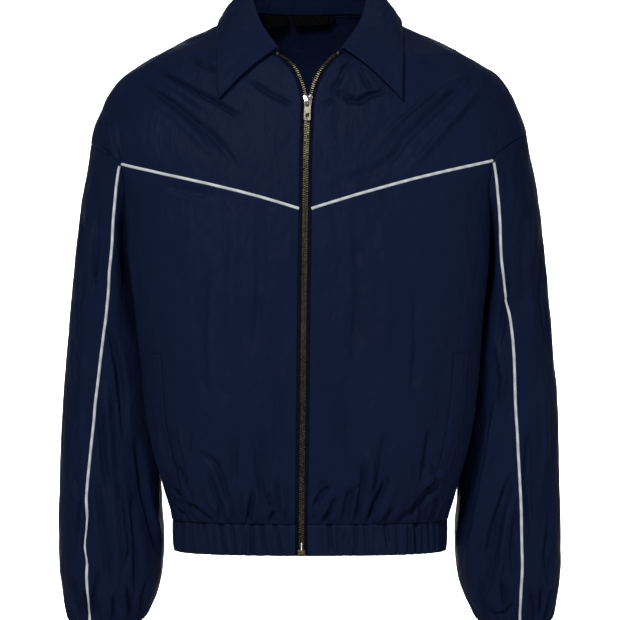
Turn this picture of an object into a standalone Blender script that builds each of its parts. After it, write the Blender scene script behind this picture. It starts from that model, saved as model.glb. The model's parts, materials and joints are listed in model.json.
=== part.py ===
"""Zip-front windbreaker with a yoke, piped seams, pointed collar and gathered hem and cuffs.

The garment is filled out as if worn, hollow and open at the neck, hem and cuffs. Sizes are in
millimetres until a mesh is made. +Z is up and the front faces -Y, so the wearer's left is +X.
The origin is the middle of the neck at shoulder height, where a wearer carries the garment.
"""

import math

import bmesh
import bpy
import numpy as np

MM = 0.001

# Cloth and seams
CLOTH = 1.2  # wall of the shell fabric
DOUBLE_CLOTH = 2.0  # wall of the hem band, cuffs and collar
SEAM_GAP = 0.3  # between two neighbouring pieces
LIFT = 0.35  # from a panel to what lies on it

# Levels, measured down from the shoulder beside the neck
HEM_SEAM_Z = -608.0
BAND_BOTTOM_Z = -645.0
CUFF_SEAM_Z = -731.0
CUFF_BOTTOM_Z = -768.0
SLIDER_Z = -113.0
YOKE_CENTRE_Z = -240.0
UNDERARM_Z = -305.0

# Grid of the panels: rows run up the garment, columns run round it
SIDE_ROWS = 9  # hem seam to underarm
ARM_ROWS = 6  # underarm to yoke corner
ZIP_ROWS = 2  # yoke seam to slider
OPEN_ROWS = 3  # slider to the neck's corner
NECK_ROWS = 5  # neck's corner to shoulder seam
YOKE_ROWS = ZIP_ROWS + OPEN_ROWS + NECK_ROWS
BACK_ARM_ROWS = 12  # underarm to shoulder tip, at the back
FRONT_COLUMNS = 14  # zip to side seam
NECK_COLUMNS = 6  # centre back to shoulder seam
SLEEVE_ROWS = 13

# Zip
FABRIC_FROM_ZIP = 7.2  # edge of a front panel to the zip's middle
CHAIN_WIDTH = 6.0
CHAIN_THICK = 2.4
TAPE_WALL = 0.8
TAPE_UNDER = 4.5  # tape behind the panel's edge
CHAIN_PROUD = 0.9  # teeth in front of the tape
BAND_ROWS = 2  # rows of the zip within the hem band
BOX_HEIGHT = 7.5
BOX_WIDTH = 8.4
STOP_HEIGHT = 4.0
SLIDER_WIDTH = 11.4
SLIDER_HIGH = 5.4  # ends of the slider's plates above and below the chain's top
SLIDER_LOW = -7.4
PLATE = 1.4
BRIDGE_HIGH = 5.5
BRIDGE_WIDTH = 2.6
PIN_UP = -3.2  # pull tab's hinge from the chain's top: up along the chain, and out from it
PIN_OUT = 3.15
TAB_LENGTH = 22.5
TAB_WALL = 1.6

# Pocket welts
WELT_WALL = 1.0
WELT_LIFT = 0.5
WELT_TOP_Z = -409.0
WELT_BOTTOM_Z = -567.0
WELT_COLUMN = 7  # of a front's columns, counted from the zip

# Blank labels at the back neck: name, left x, right x, top z, z of both lower corners
LABELS = (
    ("neck_left", -57.0, -28.0, 0.0, -17.0, -10.5),
    ("neck_main", -22.0, 23.5, 0.0, -13.0, -10.5),
    ("size", 24.6, 30.0, -0.5, -7.0, -7.0),
)
LABEL_WALL = 0.8
LABEL_FROM_SEAM = 2.6

# Body of the garment: sections across it, from the neck down.
# z, half-width of the fronts, of the back, at the side seam, front depth, back depth, squareness
TORSO = (
    (0, 82, 82, 82, 8, 62, 2.3),
    (-16, 111, 111, 111, 28, 74, 2.4),
    (-34, 149, 149, 149, 56, 86, 2.4),
    (-58, 194, 194, 194, 91, 98, 2.4),
    (-82, 229, 229, 229, 101, 105, 2.4),
    (-109, 247, 247, 247, 108, 112, 2.5),
    (-158, 262, 262, 262, 117, 119, 2.7),
    (-186, 246, 243, 240, 121, 122, 3.0),
    (-228, 228, 222, 206, 125, 124, 3.1),
    (-299, 221, 201, 177, 129, 124, 3.2),
    (-358, 214, 193, 170, 131, 121, 3.2),
    (-417, 209, 189, 166, 133, 120, 3.2),
    (-476, 203, 186, 164, 134, 121, 3.2),
    (-518, 195, 183, 163, 134, 122, 3.1),
    (-553, 186, 178, 163, 133, 122, 3.0),
    (-585, 176, 172, 164, 129, 120, 2.9),
    (-598, 170, 168, 165, 124, 116, 2.8),
    (-608, 165, 165, 165, 118, 112, 2.7),
)
SIDE_Y_AT_NECK = 0.0
SIDE_Y = 10.0  # the side seam lies a little behind the middle
TUCK_Y = 22.0  # middle of the hollow that the hanging sleeve presses in the side
TUCK_REACH = 62.0

# Middle of the zip: z, x
ZIP_LINE = (
    (-113, -2.5),
    (-178, -4.8),
    (-240, -5.6),
    (-360, -7.2),
    (-480, -8.4),
    (-612, -10.0),
)

# Front edges above the slider, where the zip is open: z, x of the left, x of the right
OPEN_EDGE = (
    (-113, 4.7, -9.7),
    (-107, 6.4, -11.4),
    (-97, 9.0, -13.6),
    (-87, 13.2, -17.2),
    (-76, 20.0, -23.0),
    (-65, 29.0, -33.0),
    (-57, 39.0, -45.0),
)

# Front neck seam: share of its length, distance from the middle, z
NECK_SEAM_LEFT = (
    (0.0, 39, -57),
    (0.25, 57, -42),
    (0.5, 70, -26),
    (0.75, 79, -11),
    (1.0, 82, 0),
)
NECK_SEAM_RIGHT = (
    (0.0, 45, -57),
    (0.25, 60, -42),
    (0.5, 71, -26),
    (0.75, 79, -11),
    (1.0, 82, 0),
)

# Yoke seam: share of the way to the armhole, z on the left, z on the right
YOKE_SEAM = (
    (0.0, -240, -240),
    (0.3, -221, -221),
    (0.6, -202, -204),
    (0.8, -191, -194),
    (1.0, -182, -186),
)

# Armhole: share of the way round from the underarm over the front; then the angle round the body
# and z on the left, and both on the right. The left arm hangs a little further back.
ARMHOLE = (
    (0.0, 90, -305, 90, -305),
    (0.1, 78, -288, 79, -288),
    (0.2, 60, -242, 66, -244),
    (0.31, 51, -182, 55.5, -186),
    (0.41, 58, -160, 68, -168),
    (0.5, 90, -143, 90, -158),
    (0.59, 110, -159, 111, -168),
    (0.68, 122, -190, 122, -192),
    (0.8, 112, -250, 112, -250),
    (0.9, 99, -292, 99, -292),
    (1.0, 90, -305, 90, -305),
)
YOKE_CORNER_SHARE = 0.31
SHOULDER_TIP_SHARE = 0.5

# Sleeve: sections from the armhole down.
# share, outer x, outer z, inner x, inner z, middle y, half-depth, seam's x on the left, on the right
SLEEVE = (
    (0.00, 263, -158, 178, -305, 8, 78, 214, 222),
    (0.05, 267, -188, 189, -322, 11, 77, 211, 217),
    (0.12, 275, -228, 196, -345, 15, 76, 216, 224),
    (0.20, 282, -278, 195, -376, 19, 75, 228, 236),
    (0.29, 288, -334, 190, -412, 22, 74, 238, 242),
    (0.38, 292, -390, 185, -449, 23, 72, 242, 248),
    (0.48, 297, -454, 182, -495, 24, 70, 244, 254),
    (0.58, 300, -514, 179, -541, 24, 69, 247, 260),
    (0.68, 302, -573, 177, -588, 23, 68, 250, 265),
    (0.77, 303, -624, 174, -630, 21, 66, 251, 267),
    (0.85, 303, -662, 176, -665, 19, 62, 252, 266),
    (0.92, 299, -696, 184, -698, 17, 52, 251, 265),
    (0.97, 294, -720, 195, -720, 16, 40, 251, 264),
    (1.00, 290, -731, 203, -731, 15, 34, 251, 263),
)
ARMHOLE_BLEND = 0.3  # share of the sleeve over which the armhole's own curve fades out
SLEEVE_SQUARENESS = 2.25

# Folds of the cloth that show from a step away, as lines on the front (or back) view.
# Each line: half-width of the fold, height (a trough is negative), then x, z points.
FRONT_FOLDS = (
    (13, -4.0, (-133, -531), (-116, -543), (-109, -558), (-92, -602)),
    (10, -3.0, (-170, -573), (-155, -586), (-145, -604)),
    (15, 4.0, (-157, -496), (-148, -540), (-143, -566)),
    (10, -3.0, (-76, -604), (-72, -586), (-69, -572)),
    (16, -3.0, (-65, -497), (-63, -538), (-59, -578)),
    (9, -2.5, (-41, -562), (-41, -594)),
    (9, -3.0, (22, -564), (4, -586)),
    (10, -3.0, (40, -575), (39, -600)),
    (12, -4.0, (87, -555), (77, -577), (66, -603)),
    (12, -4.0, (155, -557), (134, -576), (110, -603)),
    (11, -3.5, (152, -576), (146, -602)),
    (12, -3.0, (160, -425), (154, -452), (156, -482), (140, -506), (134, -540)),
    (14, -4.0, (-174, -106), (-144, -126), (-120, -144)),
    (14, -4.0, (-66, -84), (-19, -111)),
    (12, 4.0, (185, -84), (130, -116)),
    (12, 3.5, (200, -89), (132, -166)),
    (11, -3.0, (32, -104), (59, -110), (77, -100)),
    (12, -3.5, (-258, -150), (-230, -172), (-196, -196)),
)
BACK_FOLDS = (
    (14, -4.0, (-150, -520), (-128, -560), (-118, -600)),
    (12, -3.5, (-92, -556), (-84, -602)),
    (13, -3.5, (-40, -530), (-46, -570), (-40, -602)),
    (11, -3.0, (10, -562), (14, -602)),
    (14, -4.0, (62, -536), (56, -570), (62, -602)),
    (12, -3.5, (104, -560), (96, -602)),
    (14, -4.0, (152, -530), (138, -566), (134, -602)),
    (18, -4.0, (-196, -150), (-150, -210), (-96, -250)),
    (18, -4.0, (192, -142), (156, -204), (104, -240)),
    (16, 4.0, (-190, -190), (-140, -262), (-80, -300)),
    (16, 4.0, (190, -196), (132, -270), (70, -306)),
    (18, -3.0, (-60, -380), (0, -398), (66, -384)),
)
SLEEVE_FOLDS = (
    (12, -5.0, (-206, -562), (-203, -584), (-193, -618), (-186, -664)),
    (12, -4.5, (-209, -654), (-204, -676), (-216, -728)),
    (11, -4.0, (-230, -672), (-228, -696), (-223, -726)),
    (11, -3.5, (-253, -676), (-254, -704), (-256, -728)),
    (15, 4.5, (222, -457), (217, -510), (209, -563), (200, -603), (190, -645), (186, -678)),
    (12, -4.5, (240, -562), (232, -588), (222, -611), (216, -634)),
    (12, 4.0, (236, -598), (230, -633), (226, -652), (219, -716)),
    (11, -4.0, (288, -678), (278, -697), (267, -718)),
    (14, -4.0, (-268, -300), (-236, -330), (-206, -372)),
    (14, -4.0, (270, -330), (240, -352), (208, -398)),
    (16, 3.5, (-284, -420), (-250, -470), (-204, -500)),
    (16, 3.5, (286, -452), (256, -500), (212, -530)),
)
SLEEVE_BACK_FOLDS = (
    (15, -5.0, (-214, -330), (-252, -392), (-284, -420)),
    (15, -5.0, (214, -322), (254, -380), (286, -412)),
    (13, -4.5, (-206, -566), (-226, -620), (-222, -700)),
    (13, -4.5, (204, -570), (232, -628), (230, -704)),
    (13, -4.0, (-262, -600), (-256, -660), (-262, -716)),
    (13, -4.0, (266, -596), (262, -660), (268, -716)),
)

# Gathers of the elastic band at the front, as x of each crease and its depth
BAND_CREASES = (
    (-137, 1.6), (-126, 1.3), (-106, 1.8), (-91, 1.2), (-79, 1.4), (-70, 1.5), (-55, 1.7), (-39, 1.2),
    (23, 1.4), (42, 1.2), (55, 1.8), (66, 1.1), (91, 1.3), (118, 1.5), (128, 2.0), (143, 1.4), (153, 1.3),
)
BACK_CREASES = 21
BAND_CREASE_HALF = 1.7  # degrees
BAND_NIP = 1.0  # the band draws in at its lower edge
CREASE_SHARE = (0.55, 1.0, 0.75)  # of a crease's depth at the seam, middle and edge
CUFF_CREASES = 14

# Collar: sections from the centre back to the left front end.
# share, neck seam (taken from the body), roll x, y, z, edge x, y, z
COLLAR = (
    (0.00, 0, 56, 32, 0, 80, -12),
    (0.20, 39, 49, 32, 54, 75, -13),
    (0.36, 65, 29, 31, 90, 50, -12),
    (0.50, 75, -2, 27, 108, 6, -9),
    (0.66, 69, -26, 12, 111, -38, -24),
    (0.83, 59, -62, -18, 110, -89, -62),
    (1.00, 38, -96, -51, 108, -112, -112),
)
COLLAR_BEND = 4.0  # radius of the rolled edge
COLLAR_COLUMNS = 11

PIPING_WIDTH = 4.4
PIPING_HEIGHT = 1.7


def through(table, at):
    """Smooth values at the keys `at` of a table whose first column holds the keys."""
    rows = np.array(table, float)
    rows = rows[np.argsort(rows[:, 0])]
    key, value = rows[:, 0], rows[:, 1:]
    gap = np.diff(key)[:, None]
    rise = np.diff(value, axis=0) / gap
    product = rise[1:] * rise[:-1]
    total = np.where(product > 0, rise[1:] + rise[:-1], 1.0)
    slope = np.vstack([rise[:1], np.where(product > 0, 2 * product / total, 0.0), rise[-1:]])
    at = np.clip(np.asarray(at, float), key[0], key[-1])
    i = np.clip(np.searchsorted(key, at, side="right") - 1, 0, len(key) - 2)
    h = gap[i, 0][..., None]
    t = (at[..., None] - key[i][..., None]) / h
    start = (1 + 2 * t) * (1 - t) ** 2 * value[i] + t * (1 - t) ** 2 * h * slope[i]
    end = t * t * (3 - 2 * t) * value[i + 1] + t * t * (t - 1) * h * slope[i + 1]
    return start + end


def torso_point(angle, z):
    """Points of the body; the angle runs from 0 at the front over 90 at the side to 180."""
    angle, z = np.broadcast_arrays(np.asarray(angle, float), np.asarray(z, float))
    front_half, back_half, side, front, back, power = np.moveaxis(through(TORSO, z), -1, 0)
    turn = np.radians(angle)
    across, along = np.sin(turn), np.cos(turn)
    radius = (np.abs(across) ** power + np.abs(along) ** power) ** (-1 / power)
    middle = SIDE_Y_AT_NECK + (SIDE_Y - SIDE_Y_AT_NECK) * np.clip(-z / 158, 0, 1)
    depth = np.where(along >= 0, front + middle, back - middle)
    half = np.where(along >= 0, front_half, back_half)
    x = half * radius * across
    y = middle - depth * radius * along
    hollow = np.exp(-(((y - TUCK_Y) / TUCK_REACH) ** 4))
    x = x - np.sign(across) * (half - side) * hollow * np.abs(across) ** 6
    return np.stack([x, y, z], -1)


def front_angle(x, z):
    """The angle at which the front of the body is x from its middle."""
    half, _, _, _, _, power = np.moveaxis(through(TORSO, z), -1, 0)
    share = np.clip(np.abs(x) / half, 0, 0.98) ** power
    return np.sign(x) * np.degrees(np.arctan((share / (1 - share)) ** (1 / power)))


def fill(bottom, top, left, right, top_reach=1):
    """A grid inside four border lines, each an array of (angle, z) rows.

    A higher top_reach lets the top line bend only the rows that are close to it.
    """
    u = np.linspace(0, 1, len(bottom))[None, :, None]
    v = np.linspace(0, 1, len(left))[:, None, None]
    ruled = (1 - u) * left[:, None] + u * right[:, None]
    low = bottom[None] - (1 - u) * bottom[0] - u * bottom[-1]
    high = top[None] - (1 - u) * top[0] - u * top[-1]
    return ruled + (1 - v) * low + v**top_reach * high


def steps(start, end, count):
    return np.linspace(start, end, count + 1)


def armhole(share, side):
    """Points of an armhole as (angle, z) rows."""
    both = through(ARMHOLE, share)
    return both[..., :2] if side > 0 else both[..., 2:]


def zip_middle(z):
    return through(ZIP_LINE, z)[..., 0]


def front_edge(z, side):
    """x of a front panel's edge beside the zip, measured towards its own side."""
    closed = zip_middle(z) * side + FABRIC_FROM_ZIP
    opened = through(OPEN_EDGE, z)[..., 0 if side > 0 else 1] * side
    return np.where(z > SLIDER_Z, opened, closed)


def yoke_seam(side):
    """The yoke seam as (angle, z) rows from the zip to the armhole."""
    share = steps(0, 1, FRONT_COLUMNS)
    z = through(YOKE_SEAM, share)[:, 0 if side > 0 else 1]
    start = front_angle(front_edge(z[:1], side), z[:1])[0]
    corner = armhole(YOKE_CORNER_SHARE, side)[0]
    return np.stack([start + share * (corner - start), z], -1)


def side_and_arm(side):
    """Right border of a lower front: side seam, then the armhole up to the yoke's corner."""
    seam = [(90.0, z) for z in steps(HEM_SEAM_Z, UNDERARM_Z, SIDE_ROWS)]
    arm = armhole(steps(0, YOKE_CORNER_SHARE, ARM_ROWS), side)[1:]
    return np.vstack([seam, arm])


def lower_front(side):
    seam = yoke_seam(side)
    right = side_and_arm(side)
    z = steps(HEM_SEAM_Z, YOKE_CENTRE_Z, SIDE_ROWS + ARM_ROWS)
    left = np.stack([front_angle(front_edge(z, side), z), z], -1)
    left[-1] = seam[0]
    hem = np.stack([steps(left[0, 0], 90, FRONT_COLUMNS), np.full(FRONT_COLUMNS + 1, HEM_SEAM_Z)], -1)
    return fill(hem, seam, left, right)


def yoke(side):
    seam = yoke_seam(side)
    z = np.concatenate([
        steps(YOKE_CENTRE_Z, SLIDER_Z, ZIP_ROWS),
        steps(SLIDER_Z, OPEN_EDGE[-1][0], OPEN_ROWS)[1:],
    ])
    zip_side = np.stack([front_angle(front_edge(z, side), z), z], -1)
    neck = through(NECK_SEAM_LEFT if side > 0 else NECK_SEAM_RIGHT, steps(0, 1, NECK_ROWS)[1:-1])
    neck_side = np.stack([front_angle(neck[:, 0], neck[:, 1]), neck[:, 1]], -1)
    left = np.vstack([zip_side, neck_side, [(90, 0)]])
    left[0] = seam[0]
    right = armhole(steps(YOKE_CORNER_SHARE, SHOULDER_TIP_SHARE, YOKE_ROWS), side)
    return fill(seam, shoulder_seam(side), left, right)


def shoulder_seam(side):
    """From the neck to the tip of the shoulder."""
    z = steps(0, armhole(SHOULDER_TIP_SHARE, side)[1], FRONT_COLUMNS)
    return np.stack([np.full(FRONT_COLUMNS + 1, 90.0), z], -1)


def half_back(side):
    """Half of the back as on the left, columns from the centre back to the side."""
    columns = NECK_COLUMNS + FRONT_COLUMNS
    seam = [(90.0, z) for z in steps(HEM_SEAM_Z, UNDERARM_Z, SIDE_ROWS)]
    arm = armhole(steps(1, SHOULDER_TIP_SHARE, BACK_ARM_ROWS), side)[1:]
    right = np.vstack([seam, arm])
    left = np.stack([np.full(len(right), 180.0), steps(HEM_SEAM_Z, 0, len(right) - 1)], -1)
    hem = np.stack([steps(180, 90, columns), np.full(columns + 1, HEM_SEAM_Z)], -1)
    neck = np.stack([steps(180, 90, NECK_COLUMNS), np.zeros(NECK_COLUMNS + 1)], -1)
    top = np.vstack([neck, shoulder_seam(side)[1:]])
    return fill(hem, top, left, right, top_reach=4)


def sleeve_ring(turn, share):
    """Points of a left sleeve's plain sections; turn is 0 at the underarm, 180 outside."""
    outer_x, outer_z, inner_x, inner_z, middle_y, deep, _, _ = np.moveaxis(through(SLEEVE, share), -1, 0)
    a = np.radians(turn)
    c, s = np.cos(a), np.sin(a)
    radius = (np.abs(c) ** SLEEVE_SQUARENESS + np.abs(s) ** SLEEVE_SQUARENESS) ** (-1 / SLEEVE_SQUARENESS)
    x = (outer_x + inner_x) / 2 + (inner_x - outer_x) / 2 * c * radius
    z = (outer_z + inner_z) / 2 + (inner_z - outer_z) / 2 * c * radius
    return np.stack([x, middle_y - deep * s * radius, z], -1)


def ring_turn(point, share):
    """The turn at which a section's front comes nearest to the given x."""
    turns = np.linspace(40, 176, 273)
    x = sleeve_ring(turns, np.full(len(turns), share))[:, 0]
    return float(np.interp(point, x, turns))


def sleeve(side):
    """Grids of the front and back sleeve panels, as rows from the cuff up to the armhole."""
    front_count, back_count = ARM_ROWS, YOKE_ROWS + BACK_ARM_ROWS
    around = np.concatenate([
        steps(0, YOKE_CORNER_SHARE, ARM_ROWS),
        steps(YOKE_CORNER_SHARE, SHOULDER_TIP_SHARE, YOKE_ROWS)[1:],
        steps(SHOULDER_TIP_SHARE, 1, BACK_ARM_ROWS)[1:],
    ])
    hole = torso_point(*armhole(around, side).T)
    corner = front_count
    # turns of the armhole's own points, read as angles in the plane of its section
    first = sleeve_ring(np.linspace(0, 360, 721), np.zeros(721))
    own = np.array([360 * s for s in around])
    own[1:-1] = [
        np.linspace(0, 360, 721)[np.argmin(np.linalg.norm(first - p, axis=1))] for p in hole[1:-1]
    ]
    share = steps(1, 0, SLEEVE_ROWS)
    rows = []
    for s in share:
        seam_x = through(SLEEVE, s)[6 if side > 0 else 7]
        seam = ring_turn(seam_x, s)
        even = np.concatenate([
            np.linspace(0, seam, front_count + 1),
            np.linspace(seam, 360, back_count + 1)[1:],
        ])
        fade = max(0.0, 1 - s / ARMHOLE_BLEND)
        fade = fade * fade * (3 - 2 * fade)
        turn = own * fade + even * (1 - fade)
        ring = sleeve_ring(turn, np.full(len(turn), s))
        ring += fade * (hole - sleeve_ring(own, np.zeros(len(own))))
        rows.append(ring)
    grid = np.array(rows)
    grid[-1] = hole
    return grid[:, : corner + 1], grid[:, corner:]


def mirrored(grid):
    return grid[:, ::-1] * np.array([-1.0, 1.0, 1.0])


def body_grids():
    """Every panel of the body and sleeves as a grid of outer points, facing out."""
    grids = {}
    for name, side in (("left", 1), ("right", -1)):
        pieces = {
            "front": torso_point(*np.moveaxis(lower_front(side), -1, 0)),
            "yoke": torso_point(*np.moveaxis(yoke(side), -1, 0)),
        }
        pieces["sleeve_front"], pieces["sleeve_back"] = sleeve(side)
        for piece, grid in pieces.items():
            grids[f"{piece}_{name}"] = grid if side > 0 else mirrored(grid)
    left, right = (torso_point(*np.moveaxis(half_back(side), -1, 0)) for side in (1, -1))
    grids["back"] = np.concatenate([left[:, ::-1], mirrored(right)[:, ::-1][:, 1:]], axis=1)
    return grids


def triangles(rows, columns, wrap=False):
    """Two triangles for each cell of a grid, always cut along the same diagonal."""
    across = columns if wrap else columns - 1
    faces = []
    for i in range(rows - 1):
        for j in range(across):
            a, b = i * columns + j, i * columns + (j + 1) % columns
            c, d = b + columns, a + columns
            faces += [(a, b, c), (a, c, d)]
    return faces


def unit_rows(vectors):
    return vectors / np.maximum(np.linalg.norm(vectors, axis=-1, keepdims=True), 1e-9)


class Skin:
    """All grids as one skin, so that neighbours share each seam's points and normals."""

    def __init__(self, grids):
        self.names = list(grids)
        self.shapes = [grids[n].shape[:2] for n in self.names]
        self.sizes = [rows * columns for rows, columns in self.shapes]
        loose = np.concatenate([grids[n].reshape(-1, 3) for n in self.names])
        keys = np.round(loose / 0.01).astype(np.int64)
        _, first, index = np.unique(keys, axis=0, return_index=True, return_inverse=True)
        self.index = index.reshape(-1)
        self.points = loose[first]
        starts = np.concatenate([[0], np.cumsum(self.sizes)])
        self.faces = np.concatenate(
            [np.array(triangles(*shape)) + start for shape, start in zip(self.shapes, starts)]
        )

    def own_normals(self):
        """One normal for each point of each panel, from that panel's faces alone."""
        corners = self.points[self.index[self.faces]]
        cross = np.cross(corners[:, 1] - corners[:, 0], corners[:, 2] - corners[:, 0])
        total = np.zeros((len(self.index), 3))
        for k in range(3):
            np.add.at(total, self.faces[:, k], cross)
        return unit_rows(total)

    def normals(self):
        """Normals shared by the panels that meet; those of the hem and cuff seams are level."""
        total = np.zeros_like(self.points)
        np.add.at(total, self.index, self.own_normals())
        level = np.isclose(self.points[:, 2], HEM_SEAM_Z) | np.isclose(self.points[:, 2], CUFF_SEAM_Z)
        total[level, 2] = 0
        return unit_rows(total)

    def panels(self, values):
        """Values of the skin's points, or of its panels' loose points, as a grid for each panel."""
        loose = values[self.index] if len(values) == len(self.points) else values
        pieces = np.split(loose, np.cumsum(self.sizes)[:-1])
        return {n: p.reshape(*s, 3) for n, p, s in zip(self.names, pieces, self.shapes)}

    def sleeve_points(self):
        """Which of the skin's points lie on a sleeve."""
        loose = np.repeat([n.startswith("sleeve") for n in self.names], self.sizes)
        found = np.zeros(len(self.points), bool)
        found[self.index[loose]] = True
        return found


def line_distance(x, z, line):
    """Distance from points to a line in the front view, and the share of the way along it."""
    line = np.array(line, float)
    length = np.linalg.norm(np.diff(line, axis=0), axis=1)
    before = np.concatenate([[0], np.cumsum(length)])
    best = np.full(x.shape, 1e9)
    share = np.zeros(x.shape)
    for k, (a, b) in enumerate(zip(line[:-1], line[1:])):
        t = np.clip(((x - a[0]) * (b[0] - a[0]) + (z - a[1]) * (b[1] - a[1])) / length[k] ** 2, 0, 1)
        d = np.hypot(x - a[0] - t * (b[0] - a[0]), z - a[1] - t * (b[1] - a[1]))
        nearer = d < best
        best = np.where(nearer, d, best)
        share = np.where(nearer, (before[k] + t * length[k]) / before[-1], share)
    return best, share


def fold_height(points, normals, folds, facing):
    x, z = points[:, 0], points[:, 2]
    seen = np.clip(-normals[:, 1] * facing * 2.5, 0, 1)
    height = np.zeros(len(x))
    for width, rise, *line in folds:
        distance, share = line_distance(x, z, line)
        taper = np.clip(np.minimum(share + 0.35, 1.35 - share), 0.35, 1)
        height += rise * taper * np.exp(-((distance / width) ** 2)) * seen
    return height


def folded(skin):
    """Moves the skin out or in along its folds; hem and cuff seams stay level."""
    normals = skin.normals()
    reach = np.abs(skin.points[:, 0])
    on_sleeve = skin.sleeve_points()
    body = fold_height(skin.points, normals, FRONT_FOLDS, 1)
    body += fold_height(skin.points, normals, BACK_FOLDS, -1)
    arm = fold_height(skin.points, normals, SLEEVE_FOLDS, 1)
    arm += fold_height(skin.points, normals, SLEEVE_BACK_FOLDS, -1)
    height = np.where(on_sleeve, arm, body)
    calm = np.clip((skin.points[:, 2] - HEM_SEAM_Z) / 14, 0.35, 1)
    calm = np.where(on_sleeve, np.clip((skin.points[:, 2] - CUFF_SEAM_Z) / 12, 0.3, 1), calm)
    middle = np.clip((reach - 14) / 22, 0, 1)
    height *= calm * np.where(on_sleeve, 1, middle)
    skin.points += height[:, None] * normals


def border(rows, columns):
    """Indices of a grid's border, anticlockwise."""
    bottom = [(0, j) for j in range(columns)]
    right = [(i, columns - 1) for i in range(1, rows)]
    top = [(rows - 1, j) for j in range(columns - 2, -1, -1)]
    left = [(i, 0) for i in range(rows - 2, 0, -1)]
    return bottom + right + top + left


def unit(vector):
    return vector / np.linalg.norm(vector)


def pulled_in(grid, normal, gap):
    """Moves a grid's border in by the gap, square to its edges and to the skin's normal."""
    loop = border(*grid.shape[:2])
    moved = grid.copy()
    for k, here in enumerate(loop):
        before, after = loop[k - 1], loop[(k + 1) % len(loop)]
        n = normal[here]
        inward = unit(np.cross(n, grid[here] - grid[before]))
        outgoing = unit(np.cross(n, grid[after] - grid[here]))
        share = max(1 + float(inward @ outgoing), 0.35)
        moved[here] = grid[here] + gap * (inward + outgoing) / share
    return moved


def mesh_object(name, points, faces, material, smooth=True):
    """A named solid from millimetre points, with every face turned outwards."""
    mesh = bpy.data.meshes.new(name)
    mesh.from_pydata([tuple(p) for p in np.asarray(points) * MM], [], [tuple(map(int, f)) for f in faces])
    shape = bmesh.new()
    shape.from_mesh(mesh)
    bmesh.ops.recalc_face_normals(shape, faces=shape.faces)
    if shape.calc_volume(signed=True) < 0:
        bmesh.ops.reverse_faces(shape, faces=shape.faces)
    shape.to_mesh(mesh)
    shape.free()
    if smooth:
        mesh.shade_smooth()
        mesh.set_sharp_from_angle(angle=math.radians(50))
    mesh.materials.append(material)
    thing = bpy.data.objects.new(name, mesh)
    bpy.context.collection.objects.link(thing)
    return thing


def wall(name, outer, inner, material, wrap=False):
    """A closed wall between two grids of the same size; a wrapped one is a ring."""
    rows, columns = outer.shape[:2]
    count = rows * columns
    skin = triangles(rows, columns, wrap)
    faces = skin + [tuple(v + count for v in reversed(f)) for f in skin]
    if wrap:
        loops = [
            [i * columns + j for j in (range(columns) if i == 0 else range(columns - 1, -1, -1))]
            for i in (0, rows - 1)
        ]
    else:
        loops = [[i * columns + j for i, j in border(rows, columns)]]
    for loop in loops:
        for a, b in zip(loop, loop[1:] + loop[:1]):
            faces += [(b, a, a + count), (b, a + count, b + count)]
    points = np.concatenate([outer.reshape(-1, 3), inner.reshape(-1, 3)])
    return mesh_object(name, points, faces, material)


def make_material(name, colour, rough, metallic=0.0):
    material = bpy.data.materials.new(name)
    material.use_nodes = True
    shader = material.node_tree.nodes["Principled BSDF"]
    shader.inputs["Base Color"].default_value = (*colour, 1.0)
    shader.inputs["Roughness"].default_value = rough
    shader.inputs["Metallic"].default_value = metallic
    material.diffuse_color = (*colour, 1.0)
    return material


def make_panels(points, normals, cloth):
    """Every panel as a closed wall; at a seam both walls end side by side."""
    for name, grid in points.items():
        outer = pulled_in(grid, normals[name], SEAM_GAP / 2)
        wall(name, outer, outer - CLOTH * normals[name], cloth)


def ring_creases(count, first_turn, depth_low, depth_high):
    """Creases spread unevenly round a gathered ring, as (turn, depth) rows."""
    rows = []
    for k in range(count):
        sway = math.sin(2.3 * k + first_turn) * 0.22
        depth = depth_low + (depth_high - depth_low) * (0.5 + 0.5 * math.sin(1.7 * k + 0.6))
        rows.append((first_turn + (k + 0.5 + sway), depth))
    return rows


def gathered_ring(name, section, creases, levels, swell, thick, material, ends=None):
    """A tube of doubled cloth with a trough at each crease; three columns make one crease.

    With `ends`, two turns, the tube is open between them.
    """
    turns, sinks = [], []
    for turn, depth, half in creases:
        turns += [turn - half, turn, turn + half]
        sinks += [0.0, depth, 0.0]
    if ends:
        turns += list(ends)
        sinks += [0.0, 0.0]
    order = np.argsort(turns)
    turns, sinks = np.array(turns)[order], np.array(sinks)[order]
    x, y = section(turns)
    next_x, next_y = section(turns + 0.5)
    normal = unit_rows(np.stack([next_y - y, x - next_x], -1))
    outward = np.stack([x - x.mean(), y - y.mean()], -1)
    normal *= np.sign((normal * outward).sum(1, keepdims=True))
    outer, inner = [], []
    for z, out, share in zip(levels, swell, CREASE_SHARE):
        ring = np.stack([x, y], -1) + normal * (out - sinks * share)[:, None]
        outer.append(np.column_stack([ring, np.full(len(x), z)]))
        inner.append(np.column_stack([ring - normal * thick, np.full(len(x), z)]))
    wall(name, np.array(outer), np.array(inner), material, wrap=ends is None)


def band_angle(x):
    """The angle at which the front of the hem is x from its middle."""
    return float(front_angle(np.array(x), HEM_SEAM_Z))


def hem_point(angle):
    points = torso_point(np.asarray(angle, float), HEM_SEAM_Z)
    return points[..., 0], points[..., 1]


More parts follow.
